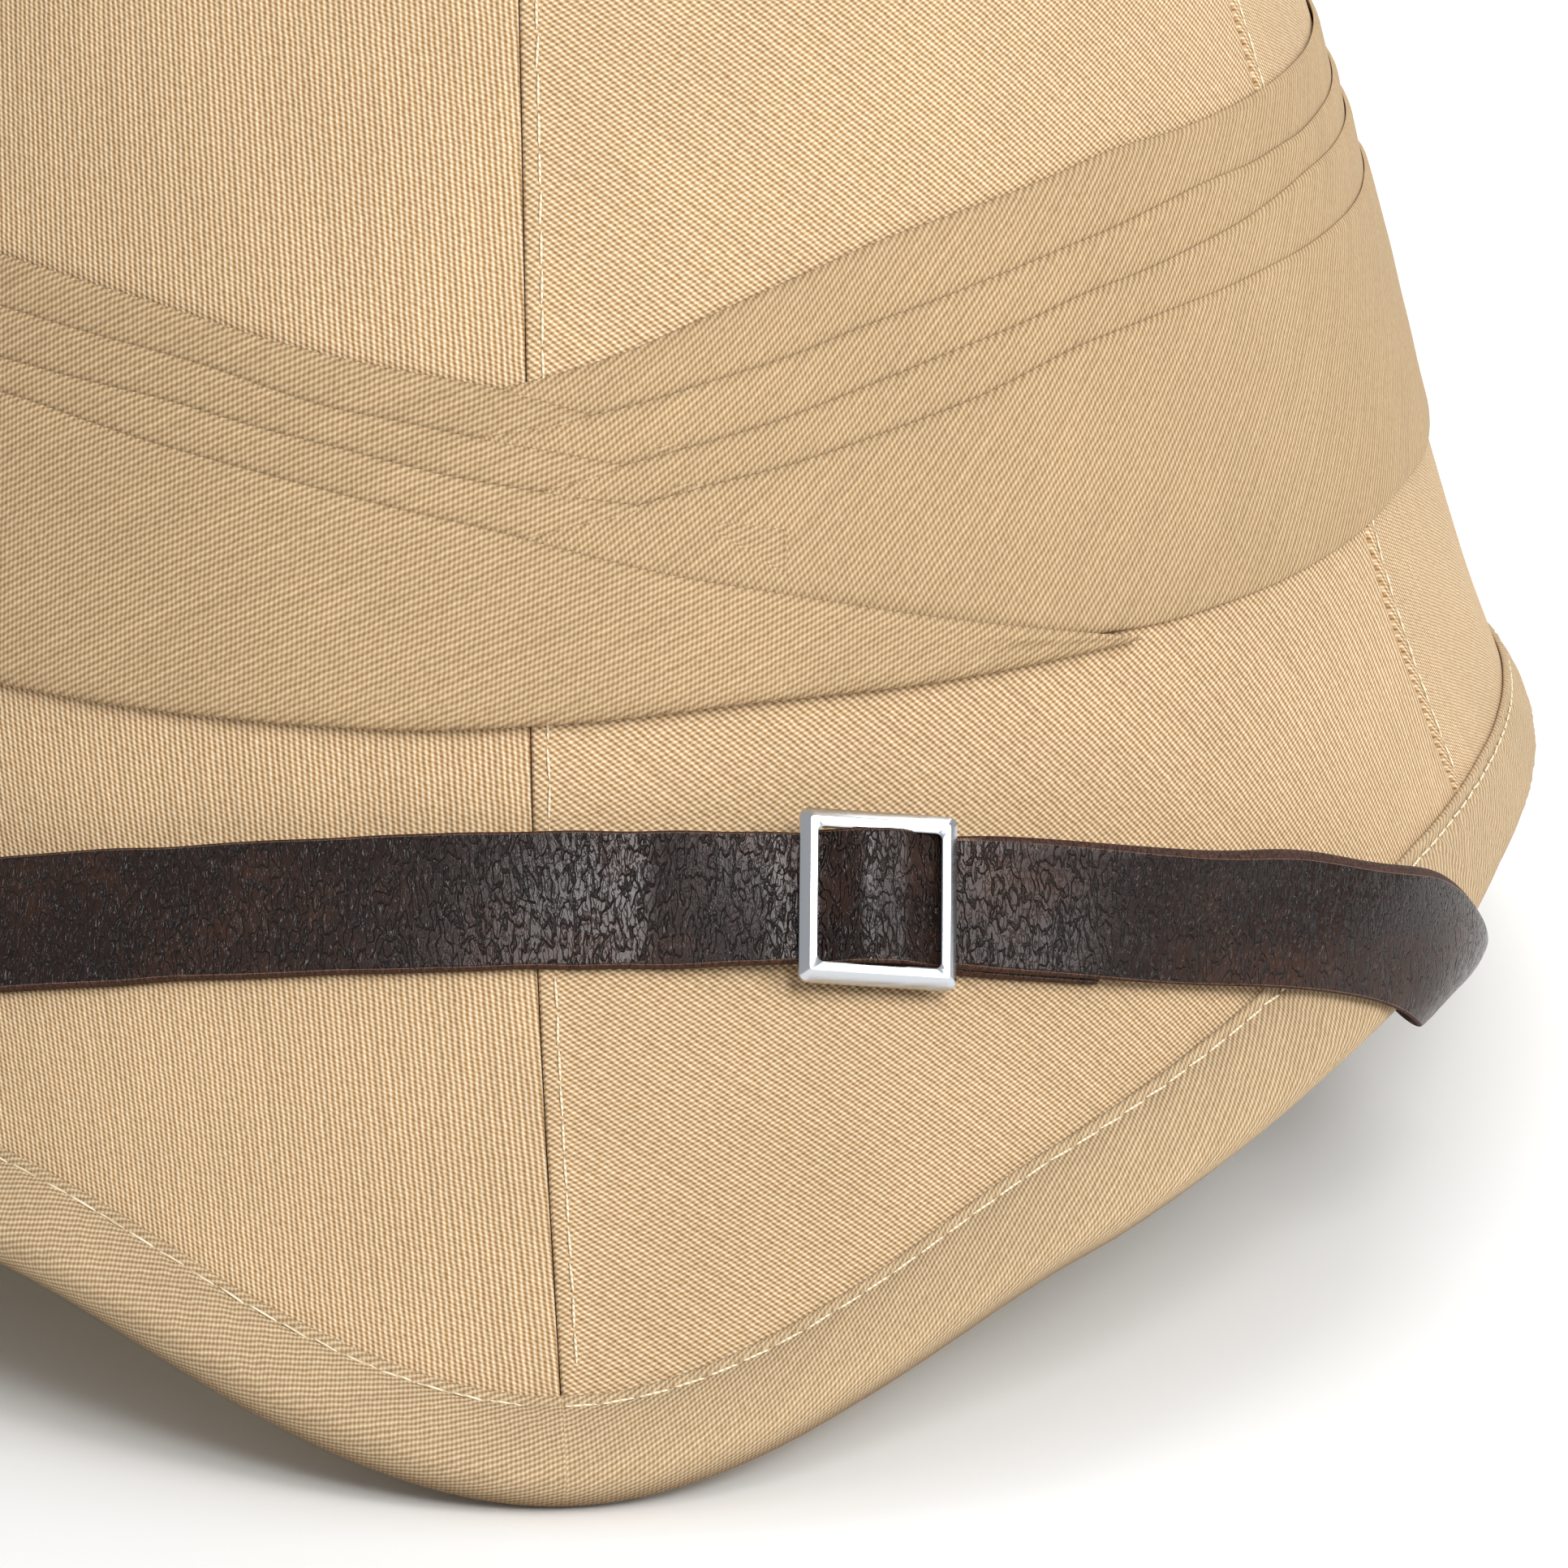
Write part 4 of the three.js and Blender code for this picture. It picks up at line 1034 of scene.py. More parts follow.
@dataclass
class Puggaree:
    """Pleated band: three narrow folds over a wide one. Each laps over itself where it crosses at the front."""

    form: HatForm
    step: float = 0.6
    cloth: float = 0.5
    fall: float = 0.3
    tuck: float = 2.4
    weave: tuple[tuple[float, float], ...] = (
        (-10, 34), (12, 35), (20, 42), (35, 40), (180, 38), (320, 34), (330, 33), (360, 23), (400, 22),
    )  # fmt: skip
    first: tuple[tuple[float, float], ...] = (
        (-9, 25.2), (-1.5, 28.5), (4.5, 31), (11.5, 35), (21, 39.5), (28.5, 41.5), (41.5, 44), (67, 44), (75, 44),
        (120, 43.5), (180, 42), (240, 43), (300, 42), (329, 37), (337, 35), (344.5, 32.5), (351, 30.5),
        (358.5, 28.5), (360.5, 27.5), (363.5, 26), (371, 22.4),
    )  # fmt: skip
    second: tuple[tuple[float, float], ...] = (
        (-10, 22.3), (-2.9, 24.2), (3.5, 26), (9, 28), (14.5, 30), (20.5, 32.5), (27.5, 34.5), (35.5, 36.5),
        (48, 38.5), (68, 38.5), (75, 38.4), (120, 38), (180, 37), (240, 38), (300, 37), (329.5, 32.5), (340, 30),
        (349, 26.5), (356, 24.5), (361, 23), (365, 21.5), (373, 18.6),
    )  # fmt: skip
    third: tuple[tuple[float, float], ...] = (
        (-8, 16.6), (0.5, 19.3), (5, 21.5), (9.5, 23), (14, 24.5), (19.5, 27), (27, 29.5), (36, 32), (48, 33.5),
        (62.5, 35), (75, 34.6), (120, 33.5), (180, 32), (240, 33.5), (300, 32.5), (330, 28), (340, 26), (349, 23),
        (358, 20), (363, 18.5), (366, 18), (374, 15.4),
    )  # fmt: skip
    broad: tuple[tuple[float, float], ...] = (
        (-8, 12), (-0.3, 15.3), (6, 18), (10, 19.5), (14, 20.5), (20, 22.5), (26.5, 24.5), (34, 27.5), (42.5, 28.5),
        (54, 29), (76, 28.5), (120, 28), (180, 27), (240, 28), (300, 28), (330.5, 25), (340, 22), (349, 19),
        (358, 16), (368.5, 11), (375, 8.5), (384, 5), (391, 2), (395.5, 0.2),
    )  # fmt: skip
    lower: tuple[tuple[float, float], ...] = (
        (-8, 0), (15, 0.8), (26, 1.2), (33, 0.6), (38, -0.1), (48, 0), (57, 0.5), (67, 1.5), (75, 1), (120, 0.5),
        (180, 0), (240, -0.2), (300, -0.6), (330, -1.6), (346, -2.6), (354, -2.6), (360, -2.0), (370, -0.8),
        (383, -0.3), (396, -0.1),
    )  # fmt: skip

    def folds(self) -> tuple[Fold, ...]:
        """The four folds, from the top one down."""
        levels = (
            ((-9, 0.6), (3, 0.7), (20, 0.85), (60, 0.7), (330, 0.95), (357, 1.05), (371, 0.95)),
            ((-10, 1.1), (3, 1.25), (20, 1.2), (60, 0.9), (330, 1.3), (357, 1.6), (373, 1.4)),
            ((-8, 1.6), (3, 1.8), (20, 1.55), (60, 1.1), (330, 1.7), (357, 2.15), (374, 2.0)),
            ((-8, 2.1), (3, 2.3), (20, 1.9), (60, 1.3), (330, 2.1), (357, 2.7), (370, 2.9), (385, 2.7), (396, 2.0)),
        )
        return (
            Fold(self.first, self.second, levels[0]),
            Fold(self.second, self.third, levels[1]),
            Fold(self.third, self.broad, levels[2]),
            Fold(self.broad, self.lower, levels[3], wide=True),
        )

    def read(self, table: tuple[tuple[float, float], ...], angle: Array, ease: float = 1.6) -> Array:
        """Reads a smooth line through a table.

        Args:
            table: Angles and values.
            angle: Where to read it.
            ease: How far its corners are rounded, in degrees.

        Returns:
            Values of the line.
        """
        at, value = np.array(table, float).T
        dense = np.arange(at[0] - 12, at[-1] + 12, 0.25)
        inside = np.interp(dense, at, value)
        ends = [(value[1] - value[0]) / (at[1] - at[0]), (value[-1] - value[-2]) / (at[-1] - at[-2])]
        inside = np.where(dense < at[0], value[0] + ends[0] * (dense - at[0]), inside)
        inside = np.where(dense > at[-1], value[-1] + ends[1] * (dense - at[-1]), inside)
        reach = np.arange(-4 * ease, 4 * ease + 0.1, 0.25)
        kernel = np.exp(-((reach / ease) ** 2) / 2)
        smooth = np.convolve(np.pad(inside, len(kernel) // 2, "edge"), kernel / kernel.sum(), "valid")
        return np.interp(angle, dense, smooth[: len(dense)])

    def section(self, fold: Fold, angle: Array) -> tuple[Array, Array]:
        """Shape of a fold across the band.

        Args:
            fold: The fold.
            angle: Its stations.

        Returns:
            Distance down from the top edge, and lift over the cover, each stations by points.
        """
        width = np.maximum(self.read(fold.edge, angle) - self.read(fold.foot, angle), 0.3)
        level = self.read(fold.level, angle, 3.0) + 0.05 * ripple(angle * 1.9, 0 * angle, 40.0, 5)
        near = np.array([0.0, 0.05, 0.14, 0.3, 0.55, 0.9, 1.4])
        squeeze = np.minimum(1, width / 4.0)[:, None]
        soft = 0.42 * (1 - np.clip(near / 0.9, 0, 1)) ** 2.2
        near_down, near_lift = near * squeeze, level[:, None] - soft * squeeze
        start = near_down[:, -1:]
        if fold.wide:
            end = width[:, None] - 2.0 * squeeze
            share = np.linspace(0, 1, 17)[1:]
            body_down = start + (end - start) * share
            body_lift = level[:, None] - (0.1 * np.sin(math.pi * share) + 0.45 * share**2) * squeeze
            roll = np.radians([18, 36, 54, 72, 90, 115])
            body_end = body_lift[:, -1:]
            thick = (body_end - 0.25) / 2
            roll_down = width[:, None] - 2.0 * squeeze * (1 - np.sin(roll))
            roll_lift = body_end - thick * (1 - np.cos(roll))
            back = np.array([0.4, 1.6, 3.0])
            back_down = width[:, None] - back * squeeze
            back_lift = np.full_like(back_down, 0.25)
            under = np.linspace(0.7, 0, 6)
            under_down = start * 0.4 + (end - start) * under
            under_lift = level[:, None] - (0.1 * np.sin(math.pi * under) + 0.45 * under**2) * squeeze - self.cloth
            down = [near_down, body_down, roll_down, back_down, under_down]
            lift = [near_lift, body_lift, roll_lift, back_lift, under_lift]
        else:
            share = np.linspace(0, 1, 8)[1:]
            body_down = start + (width[:, None] - start) * share
            body_lift = level[:, None] - self.fall * share
            hidden = np.array([0.35, 0.7, 1.0])
            hidden_down = width[:, None] + self.tuck * hidden
            hidden_lift = level[:, None] - self.fall - 0.4 * hidden
            under = np.linspace(1, 0, 6)
            under_down = start * 0.4 + (width[:, None] + self.tuck - start * 0.4) * under
            under_lift = level[:, None] - (self.fall + 0.3) * under - self.cloth
            down = [near_down, body_down, hidden_down, under_down]
            lift = [near_lift, body_lift, hidden_lift, under_lift]
        return np.concatenate(down, 1), np.maximum(np.concatenate(lift, 1), 0.22)

    def strip(self, fold: Fold, index: int) -> bpy.types.Object:
        """Builds one fold.

        Args:
            fold: The fold.
            index: Its number from the top.

        Returns:
            The fold as a closed piece.
        """
        start, end = fold.edge[0][0], fold.edge[-1][0]
        angle = np.linspace(start, end, int((end - start) / self.step) + 1)
        down, lift = self.section(fold, angle)
        top = self.read(fold.edge, angle) + 0.1 * ripple(angle * 1.9, 0 * angle, 22.0, 21 + index)
        turns = np.broadcast_to(angle[:, None], down.shape)
        height = top[:, None] - down * 0.97
        lift = lift + self.drag(turns, height, lift, fold.wide)
        places = self.form.place_from_height(turns, height)
        points = self.form.skin(turns, places, lift)
        walked = arc_lengths(self.form.point(angle, self.form.place_from_height(angle, top)), 0, 0)
        weave = np.radians(self.read(self.weave, angle, 4.0))
        stride = np.gradient(walked)
        east, north = np.cumsum(np.cos(weave) * stride), np.cumsum(np.sin(weave) * stride)
        tall = np.concatenate([height, height[:, :1]], 1)
        cosine, sine = np.cos(weave)[:, None], np.sin(weave)[:, None]
        cloth = np.stack([-north[:, None] + tall * cosine, east[:, None] + tall * sine], -1)
        piece = grid_piece(f"fold_{index}", points, cloth, (False, True))
        close_ends(piece)
        face_outwards(piece)
        return piece

    def drag(self, angle: Array, height: Array, lift: Array, wide: bool) -> Array:
        """Soft drag lines in the cloth, where it stands clear of the cover."""
        size = 0.11 if wide else 0.05
        clear = smoothstep(lift, 0.5, 1.5)
        return size * clear * ripple(angle * 1.9 + height * 1.6, height * 0.9, 17.0, 31)

    def build(self) -> bpy.types.Object:
        """Builds and dresses the band."""
        parts = [self.strip(fold, index) for index, fold in enumerate(self.folds())]
        piece = join("puggaree_cloth", parts)
        # Gap and groove colours here are painted shade, the float colour a painted highlight.
        finish = CottonDrill(
            name="cotton_drill_pleated",
            gap_shade_colour="#896b45",
            groove_shade_colour="#a48661",
            thread_colour="#b69b76",
            float_highlight_colour="#cbb797",
        )
        dress(piece, finish.material(), "pleated_drill", "puggaree")
        return piece


@dataclass
class BrimBinding:
    """Doubled drill folded over the brim's edge and stitched through near its inner edge."""

    form: HatForm
    sections: int = 900
    stitch_inset: float = 9.3
    stitch_pitch: float = 3.4
    pressed: float = 0.6
    nose_flatness: float = 0.7
    weave: float = 28.0
    pull: tuple[tuple[float, float], ...] = (
        (0, 1.5), (10, 1.5), (16, 0.9), (22, 0.2), (30, 0), (54, 0), (62, 0.7), (110, 0.7), (130, 0), (290, 0),
        (310, 0.8), (325, 1.1), (345, 1.4), (360, 1.5),
    )  # fmt: skip

    def profile(self) -> list[tuple[float, float]]:
        """Outline of the binding: distance in from the edge, and lift over the cover."""
        form = self.form
        lift, radius = form.binding_lift, form.edge_radius
        width, under = form.binding_width, form.inner_depth
        thin = self.pressed * lift
        top = [(width, 0.16), (width + 0.02, thin * 0.5), (width - 0.12, thin * 0.85), (width - 0.4, thin)]
        inner = [width - 0.8, self.stitch_inset + 0.25, self.stitch_inset, self.stitch_inset - 0.25]
        raised = [thin, thin, thin * 0.98, thin * 1.05, lift * 0.8, lift * 0.93, lift, lift]
        face = list(zip([*inner, 8.2, 7.0, 5.8, 4.7], raised))
        turns = np.radians(np.linspace(90, -90, 13))
        flatness = self.nose_flatness
        square = [
            (abs(math.cos(turn)) ** flatness, math.copysign(abs(math.sin(turn)) ** flatness, turn)) for turn in turns
        ]
        nose = [(radius * (1 - out), radius * rise + lift - radius) for out, rise in square]
        low = -(under + lift)
        back = [(inset, low) for inset in [4.7, 5.8, 7.0, 8.2, *reversed(inner)]]
        bottom = [(width - 0.4, low), (width - 0.12, low + 0.15), (width + 0.02, low + 0.5), (width, -under - form.gap)]
        inside = [(form.edge_setback - form.gap, -under - form.gap), (form.edge_setback - form.gap, 0.16)]
        return [*top, *face, *nose, *back, *bottom, *inside]

    def build(self) -> bpy.types.Object:
        """Builds and dresses the binding."""
        form = self.form
        angle = np.arange(self.sections) * 360.0 / self.sections
        outline = np.array(self.profile())
        inset, lift = (np.broadcast_to(outline[:, i], (self.sections, len(outline))) for i in (0, 1))
        rim = form.point(angle, np.full_like(angle, 2.0))
        steps = np.linalg.norm(np.roll(rim, -1, 0) - rim, axis=1)
        walked = np.concatenate([[0], np.cumsum(steps)])
        along = np.broadcast_to(walked[:-1, None], inset.shape)
        count = round(walked[-1] / self.stitch_pitch)
        pitch = walked[-1] / count
        line = np.exp(-(((inset - self.stitch_inset) / 0.35) ** 2))
        pull = 0.5 + 0.5 * np.cos(2 * math.pi * along / pitch)
        sides = np.sign(lift + form.inner_depth / 2)
        face = (lift > 0.5 * form.binding_lift) | (lift < -form.inner_depth - form.binding_lift + 0.5)
        wrinkle = 0.1 * ripple(along + inset * 0.8, inset * 0.5, 8.0, 41)
        wrinkle = wrinkle + 0.05 * np.cos(2 * math.pi * along / pitch + inset)
        change = np.where(face, wrinkle * smoothstep(inset, -0.5, 2.0) - line * (0.16 + 0.1 * pull), 0.0)
        turns = np.broadcast_to(angle[:, None], inset.shape)
        moved = inset + np.where(inset > form.binding_width - 1, 0.1 * ripple(along, 0 * along, 16.0, 43), 0.0)
        pulled = np.interp(angle, *np.array(self.pull).T)[:, None]
        moved = moved + pulled * np.clip(1 - inset / form.binding_width, 0, 1)
        places = form.place_from_edge(turns, moved)
        points = form.skin(turns, places, lift + sides * change)
        across = np.concatenate([[0], np.cumsum(np.hypot(*np.diff(np.vstack([outline, outline[:1]]), axis=0).T))])
        across = np.broadcast_to(across, (self.sections + 1, len(across)))
        walk = np.broadcast_to(walked[:, None], across.shape)
        piece = grid_piece("binding_cloth", points, turned_cloth(walk, across, self.weave), (True, True))
        # Mask of painted shade on the underside of the brim's edge, near its nose.
        wear_and_shade = smoothstep(form.binding_lift - lift, 2.6, 4.4) * (1 - smoothstep(inset, 4.0, 8.0))
        mark = piece.data.attributes.new("painted_underside_shade", "FLOAT", "POINT")
        mark.data.foreach_set("value", wear_and_shade.ravel().astype(np.float32))
        face_outwards(piece)
        # Gap and groove colours here are painted shade, the float colour a painted highlight.
        finish = CottonDrill(
            name="cotton_drill_bias_cut",
            gap_shade_colour="#8b6e49",
            groove_shade_colour="#a68a67",
            thread_colour="#bba27f",
            float_highlight_colour="#d4c2a5",
            # Painted shade on the brim edge's underside.
            wear_and_shade=True,
        )
        dress(piece, finish.material(), "bound_drill", "brim_binding")
        return piece


@dataclass
class Stitching:
    """Short raised stitches of sewing thread along the seams and round the binding."""

    form: HatForm
    panels: CoverPanels
    binding: BrimBinding
    thread: float = 0.26
    hole_share: float = 0.06
    waver: float = 0.035
    button_clear: float = 19.0
    binding_clear: float = 11.0

    def stitch(self) -> tuple[Array, Array]:
        """Models one stitch, one long and one thick, along X.

        Returns:
            Its points and its faces.
        """
        deselect()
        bpy.ops.mesh.primitive_uv_sphere_add(segments=8, ring_count=6, radius=0.5, rotation=(0, math.pi / 2, 0))
        piece = bpy.context.object
        bpy.ops.object.transform_apply(location=False, rotation=True, scale=False)
        bpy.ops.object.mode_set(mode="EDIT")
        bpy.ops.mesh.quads_convert_to_tris()
        bpy.ops.object.mode_set(mode="OBJECT")
        points = np.array([vertex.co for vertex in piece.data.vertices])
        faces = np.array([polygon.vertices[:] for polygon in piece.data.polygons])
        points[:, 0] = np.sign(points[:, 0]) * np.abs(points[:, 0] * 2) ** 0.6 / 2
        points[:, 2] += 0.22 * (1 - (2 * points[:, 0]) ** 2)
        bpy.data.objects.remove(piece, do_unlink=True)
        return points, faces

    def row(self, name: str, path: Array, normals: Array, pitch: float, phase: float) -> bpy.types.Object:
        """Sews one row.

        Args:
            name: Name of the piece.
            path: Points of the row on the cloth's face.
            normals: Directions out of the cloth there.
            pitch: From one stitch to the next.
            phase: Where the first needle hole is.

        Returns:
            The row of stitches.
        """
        points, faces = self.stitch()
        walked = arc_lengths(path, 0, 0)
        starts = np.arange(phase, walked[-1] - pitch, pitch)
        draw = np.random.default_rng(7)
        gap = self.hole_share * pitch

        def past_hole(values: Array, shift: float) -> Array:
            """Reads values of the row a little past each needle hole."""
            return np.stack([np.interp(starts + shift, walked, values[:, i]) for i in range(3)], -1)

        first, last = past_hole(path, gap), past_hole(path, pitch - gap)
        out = unit(past_hole(normals, pitch / 2))
        length = np.linalg.norm(last - first, axis=1)
        along = (last - first) / length[:, None]
        side = np.cross(out, along)
        along = unit(along + side * draw.normal(0, self.waver, (len(starts), 1)))
        side = np.cross(out, along)
        middle = (first + last) / 2
        sizes = np.stack([length, np.full_like(length, self.thread), np.full_like(length, self.thread * 0.8)], -1)
        local = points[None] * sizes[:, None]
        placed = middle[:, None] + local[..., :1] * along[:, None]
        placed = placed + local[..., 1:2] * side[:, None] + local[..., 2:] * out[:, None]
        every = (np.arange(len(starts)) * len(points))[:, None, None] + faces[None]
        mesh = bpy.data.meshes.new(name)
        mesh.from_pydata(((placed + self.form.origin) * MM).reshape(-1, 3).tolist(), [], every.reshape(-1, 3).tolist())
        mesh.polygons.foreach_set("use_smooth", np.ones(len(mesh.polygons), bool))
        piece = bpy.data.objects.new(name, mesh)
        bpy.context.scene.collection.objects.link(piece)
        return piece

    def seam_row(self, index: int) -> bpy.types.Object:
        """Sews the row beside one seam."""
        form, panels = self.form, self.panels
        start = index * 360.0 / panels.seams
        rows = panels.crown_rows + panels.brim_rows
        places = panels.rows(np.full((rows, 1), start))[:, 0]
        width = panels.millimetres_a_degree(start, places)
        last = form.place_from_edge(np.array(start), np.array(self.binding_clear))
        keep = (places > form.place_from_radius(self.button_clear)) & (places < last)
        down = arc_lengths(form.point(np.full_like(places, start), places), 0, panels.crown_rows)
        places, angle, down = places[keep], (start + panels.stitch_inset / width)[keep], down[keep]
        lift = panels.seam_lift(np.full_like(places, panels.stitch_inset), np.full_like(places, 9.0), down)
        path = form.skin(angle, places, lift + 0.12)
        phase = (-down[0]) % panels.stitch_pitch
        return self.row(f"seam_{index}", path, form.normal(angle, places), panels.stitch_pitch, phase)

    def binding_row(self, face: Face) -> bpy.types.Object:
        """Sews the row round one face of the brim."""
        form, binding = self.form, self.binding
        angle = np.linspace(0, 360, 1441)
        places = form.place_from_edge(angle, np.full_like(angle, binding.stitch_inset))
        if face is Face.TOP:
            lift = form.binding_lift * binding.pressed - 0.08
        else:
            lift = 0.1 - form.inner_depth - form.binding_lift
        path = form.skin(angle, places, np.full_like(angle, lift))
        normals = form.normal(angle, places) * face.value
        length = arc_lengths(path, 0, 0)[-1]
        pitch = length / round(length / binding.stitch_pitch)
        return self.row(f"edge_{face.name}", path, normals, pitch, 0.0)

    def build(self) -> list[bpy.types.Object]:
        """Sews and dresses every row."""
        thread = SewingThread().material()
        seams = join("seam_stitches", [self.seam_row(index) for index in range(self.panels.seams)])
        edge = join("binding_stitches", [self.binding_row(face) for face in Face])
        return [dress(seams, thread, "khaki_drill"), dress(edge, thread, "bound_drill")]


@dataclass
class StrapLine:
    """Route of the strap over the finished brim, with the sag and the twist that its pull gives it."""

    form: HatForm
    width: float = 12.95
    leather: float = 1.45
    drop: float = 15.6
    tilt: float = math.radians(28.2)
    rest: float = 0.35
    slack: float = 4.0
    under: float = 0.8
    anchor_angle: float = 90.0
    anchor_rise: float = 4.0
    buckle_angle: float = 15.8
    buckle_length: float = 15.0
    clearance: float = 0.1
    bar: float = 1.5
    tail_length: float = 14.0
    thread_ease: float = 0.9
    sag: tuple[tuple[float, float], ...] = (
        (0, 1.0), (10, 1.3), (20, 1.75), (27, 1.85), (33, 2.0), (38, 2.0), (44, 0.7), (50, 0.1), (56, 0), (90, 0),
    )  # fmt: skip
    twist: tuple[tuple[float, float], ...] = (
        (-56, 0), (-44, 14), (-34, 15), (-20, 13), (-10, 10), (0, 10), (10, 10), (15.8, 11), (20, 17), (24, 26),
        (29, 36), (34, 41), (39, 40), (45, 24), (51, 8), (57, 0),
    )  # fmt: skip
    turn_angle: float = field(init=False, default=0.0)

    def __post_init__(self) -> None:
        """Walks the route once."""
        self.quarter = self.form.edge_radius * math.pi / 2
        limit = self.form.edge_radius + self.form.binding_lift
        turn = 0
        while float(self.inset(np.array(turn + 1.0))) > limit and turn < self.anchor_angle:
            turn += 1
        self.turn_angle = float(turn)
        self.route_angles = np.arange(0, self.anchor_angle + 10, 0.25)
        self.route_wraps = self.plan(self.route_angles)
        self.walk_angles = np.arange(-self.anchor_angle, self.anchor_angle + 0.01, 0.5)
        points = self.rim_point(self.walk_angles, self.route(self.walk_angles), self.rest)
        self.walked = arc_lengths(points, 0, 0)
        self.length = float(self.walked[-1])
        self.buckle_at = float(np.interp(self.buckle_angle, self.walk_angles, self.walked))
        self.tail_end = self.buckle_at + self.buckle_length / 2 + self.tail_length

    @property
    def levels(self) -> tuple[float, float, float]:
        """Lifts of the strap on the hat, under the side bars and over the centre bar."""
        second = self.rest + self.leather + self.clearance
        return self.rest, second, second + self.bar + self.clearance

    @property
    def frame_bottom(self) -> float:
        """Lift of the buckle frame's underside."""
        return self.levels[1] + self.leather + self.clearance

    def inset(self, angle: Array) -> Array:
        """Distance in from the brim's edge where the strap's flat cut meets the brim."""
        form = self.form
        low, high = np.ones(2), np.full(2, 2.0)
        for _ in range(40):
            middle = (low + high) / 2
            above = form.point(np.zeros(2), middle)[:, 2] > -self.drop
            low, high = np.where(above, middle, low), np.where(above, high, middle)
        front = form.point(np.zeros(1), high[:1])[0]
        low, high = np.ones_like(angle, float), np.full_like(angle, 2.0, float)
        for _ in range(40):
            middle = (low + high) / 2
            point = form.point(angle, middle)
            above = point[..., 2] > front[2] - math.tan(self.tilt) * (point[..., 1] - front[1])
            low, high = np.where(above, middle, low), np.where(above, high, middle)
        return (2 - high) * form.brim_length(angle)

    def route(self, angle: Array) -> Array:
        """Wrap of the strap's middle: over the top face above zero, under the brim below it."""
        return np.interp(np.abs(angle), self.route_angles, self.route_wraps)

    def plan(self, angle: Array) -> Array:
        """Works the route out at the angles given."""
        form = self.form

        def top(at: Array) -> Array:
            """Wrap on the top face."""
            return self.inset(at) - form.edge_radius + self.quarter

        turned = np.abs(np.asarray(angle, float))
        first, before = top(np.array(self.turn_angle)), top(np.array(self.turn_angle - 1))
        span = self.anchor_angle - self.turn_angle
        end = form.edge_radius - self.quarter - form.brim_length(np.array(self.anchor_angle)) - self.anchor_rise
        share = (turned - self.turn_angle) / span
        hidden = hermite(share, first, (first - before) * span, end, (end - first))
        taut = np.where(turned <= self.turn_angle, top(np.minimum(turned, self.turn_angle)), hidden)
        return taut - self.read(self.sag, turned)

    def read(self, table: tuple[tuple[float, float], ...], angle: Array) -> Array:
        """Reads a smooth value through a table of angles."""
        at, value = np.array(table, float).T
        return sum(np.interp(angle + shift, at, value) * share for shift, share in ((-3, 0.25), (0, 0.5), (3, 0.25)))

    def rim_point(self, angle: Array, wrap: Array, lift: Array) -> Array:
        """Points over the finished edge.

        Args:
            angle: Angles round the hat.
            wrap: Distance round the edge, positive on the top face.
            lift: Height over the cloth.

        Returns:
            Points in millimetres.
        """
        form = self.form
        angle, wrap, lift = np.broadcast_arrays(*(np.asarray(v, float) for v in (angle, wrap, lift)))
        radius = form.edge_radius
        gap = self.under * smoothstep(-wrap, -2 * self.quarter, 0)
        nose_place = form.place_from_edge(angle, np.full_like(angle, radius))
        normal = form.normal(angle, nose_place)
        centre = form.point(angle, nose_place) - normal * (radius - form.binding_lift)
        away = unit(form.point(angle, np.full_like(angle, 2.0)) - form.point(angle, nose_place))
        turn = wrap / radius
        reach = (radius + lift + gap)[..., None]
        nose = centre + away * reach * np.cos(turn)[..., None] + normal * reach * np.sin(turn)[..., None]
        inset = radius + np.abs(wrap) - self.quarter
        width, step = form.binding_width, form.binding_lift
        ramp = step * (1 - smoothstep(inset, width + step, width + 5 * step))
        stand = np.where(wrap > 0, ramp + lift, -(form.inner_depth + ramp + lift + gap))
        face = form.skin(angle, form.place_from_edge(angle, inset), stand)
        return np.where((np.abs(wrap) < self.quarter)[..., None], nose, face)

    def step_across(self, angle: Array) -> tuple[Array, Array]:
        """One millimetre across the strap, as steps of angle and wrap, square to the route."""
        stride = 0.5
        wrap = self.route(angle)
        slope = (self.route(angle + stride) - self.route(angle - stride)) / (2 * stride)
        turn = self.rim_point(angle + stride, wrap, self.rest) - self.rim_point(angle - stride, wrap, self.rest)
        over = self.rim_point(angle, wrap + stride, self.rest) - self.rim_point(angle, wrap - stride, self.rest)
        turn, over = turn / (2 * stride), over / (2 * stride)

        def dot(a: Array, b: Array) -> Array:
            """Scalar product."""
            return (a * b).sum(-1)

        back = -(dot(turn, over) + dot(over, over) * slope)
        climb = dot(turn, turn) + dot(turn, over) * slope
        length = np.linalg.norm(turn * back[..., None] + over * climb[..., None], axis=-1)
        return back / length, climb / length

    def point(self, length: Array, across: Array, lift: Array) -> Array:
        """Points of the strap, twisted about its lower edge.

        Args:
            length: Distance along it.
            across: Distance from its middle.
            lift: Height over what it lies on.

        Returns:
            Points in millimetres.
        """
        length, across, lift = np.broadcast_arrays(*(np.asarray(v, float) for v in (length, across, lift)))
        flat = self.flat_point(length, across, lift)
        turn = np.radians(self.read(self.twist, np.interp(length, self.walked, self.walk_angles)))[..., None]
        low, high = self.flat_point(length, -2.0, self.rest), self.flat_point(length, 2.0, self.rest)
        upward = unit(high - low)
        along = self.flat_point(length + 1, 0.0, self.rest) - self.flat_point(length - 1, 0.0, self.rest)
        out = unit(np.cross(along, upward))
        up, rise = (across + self.width / 2)[..., None], lift[..., None]
        raised = out * (up * np.sin(turn) + rise * (np.cos(turn) - 1))
        return flat + raised - upward * (up * (1 - np.cos(turn)) + rise * np.sin(turn))

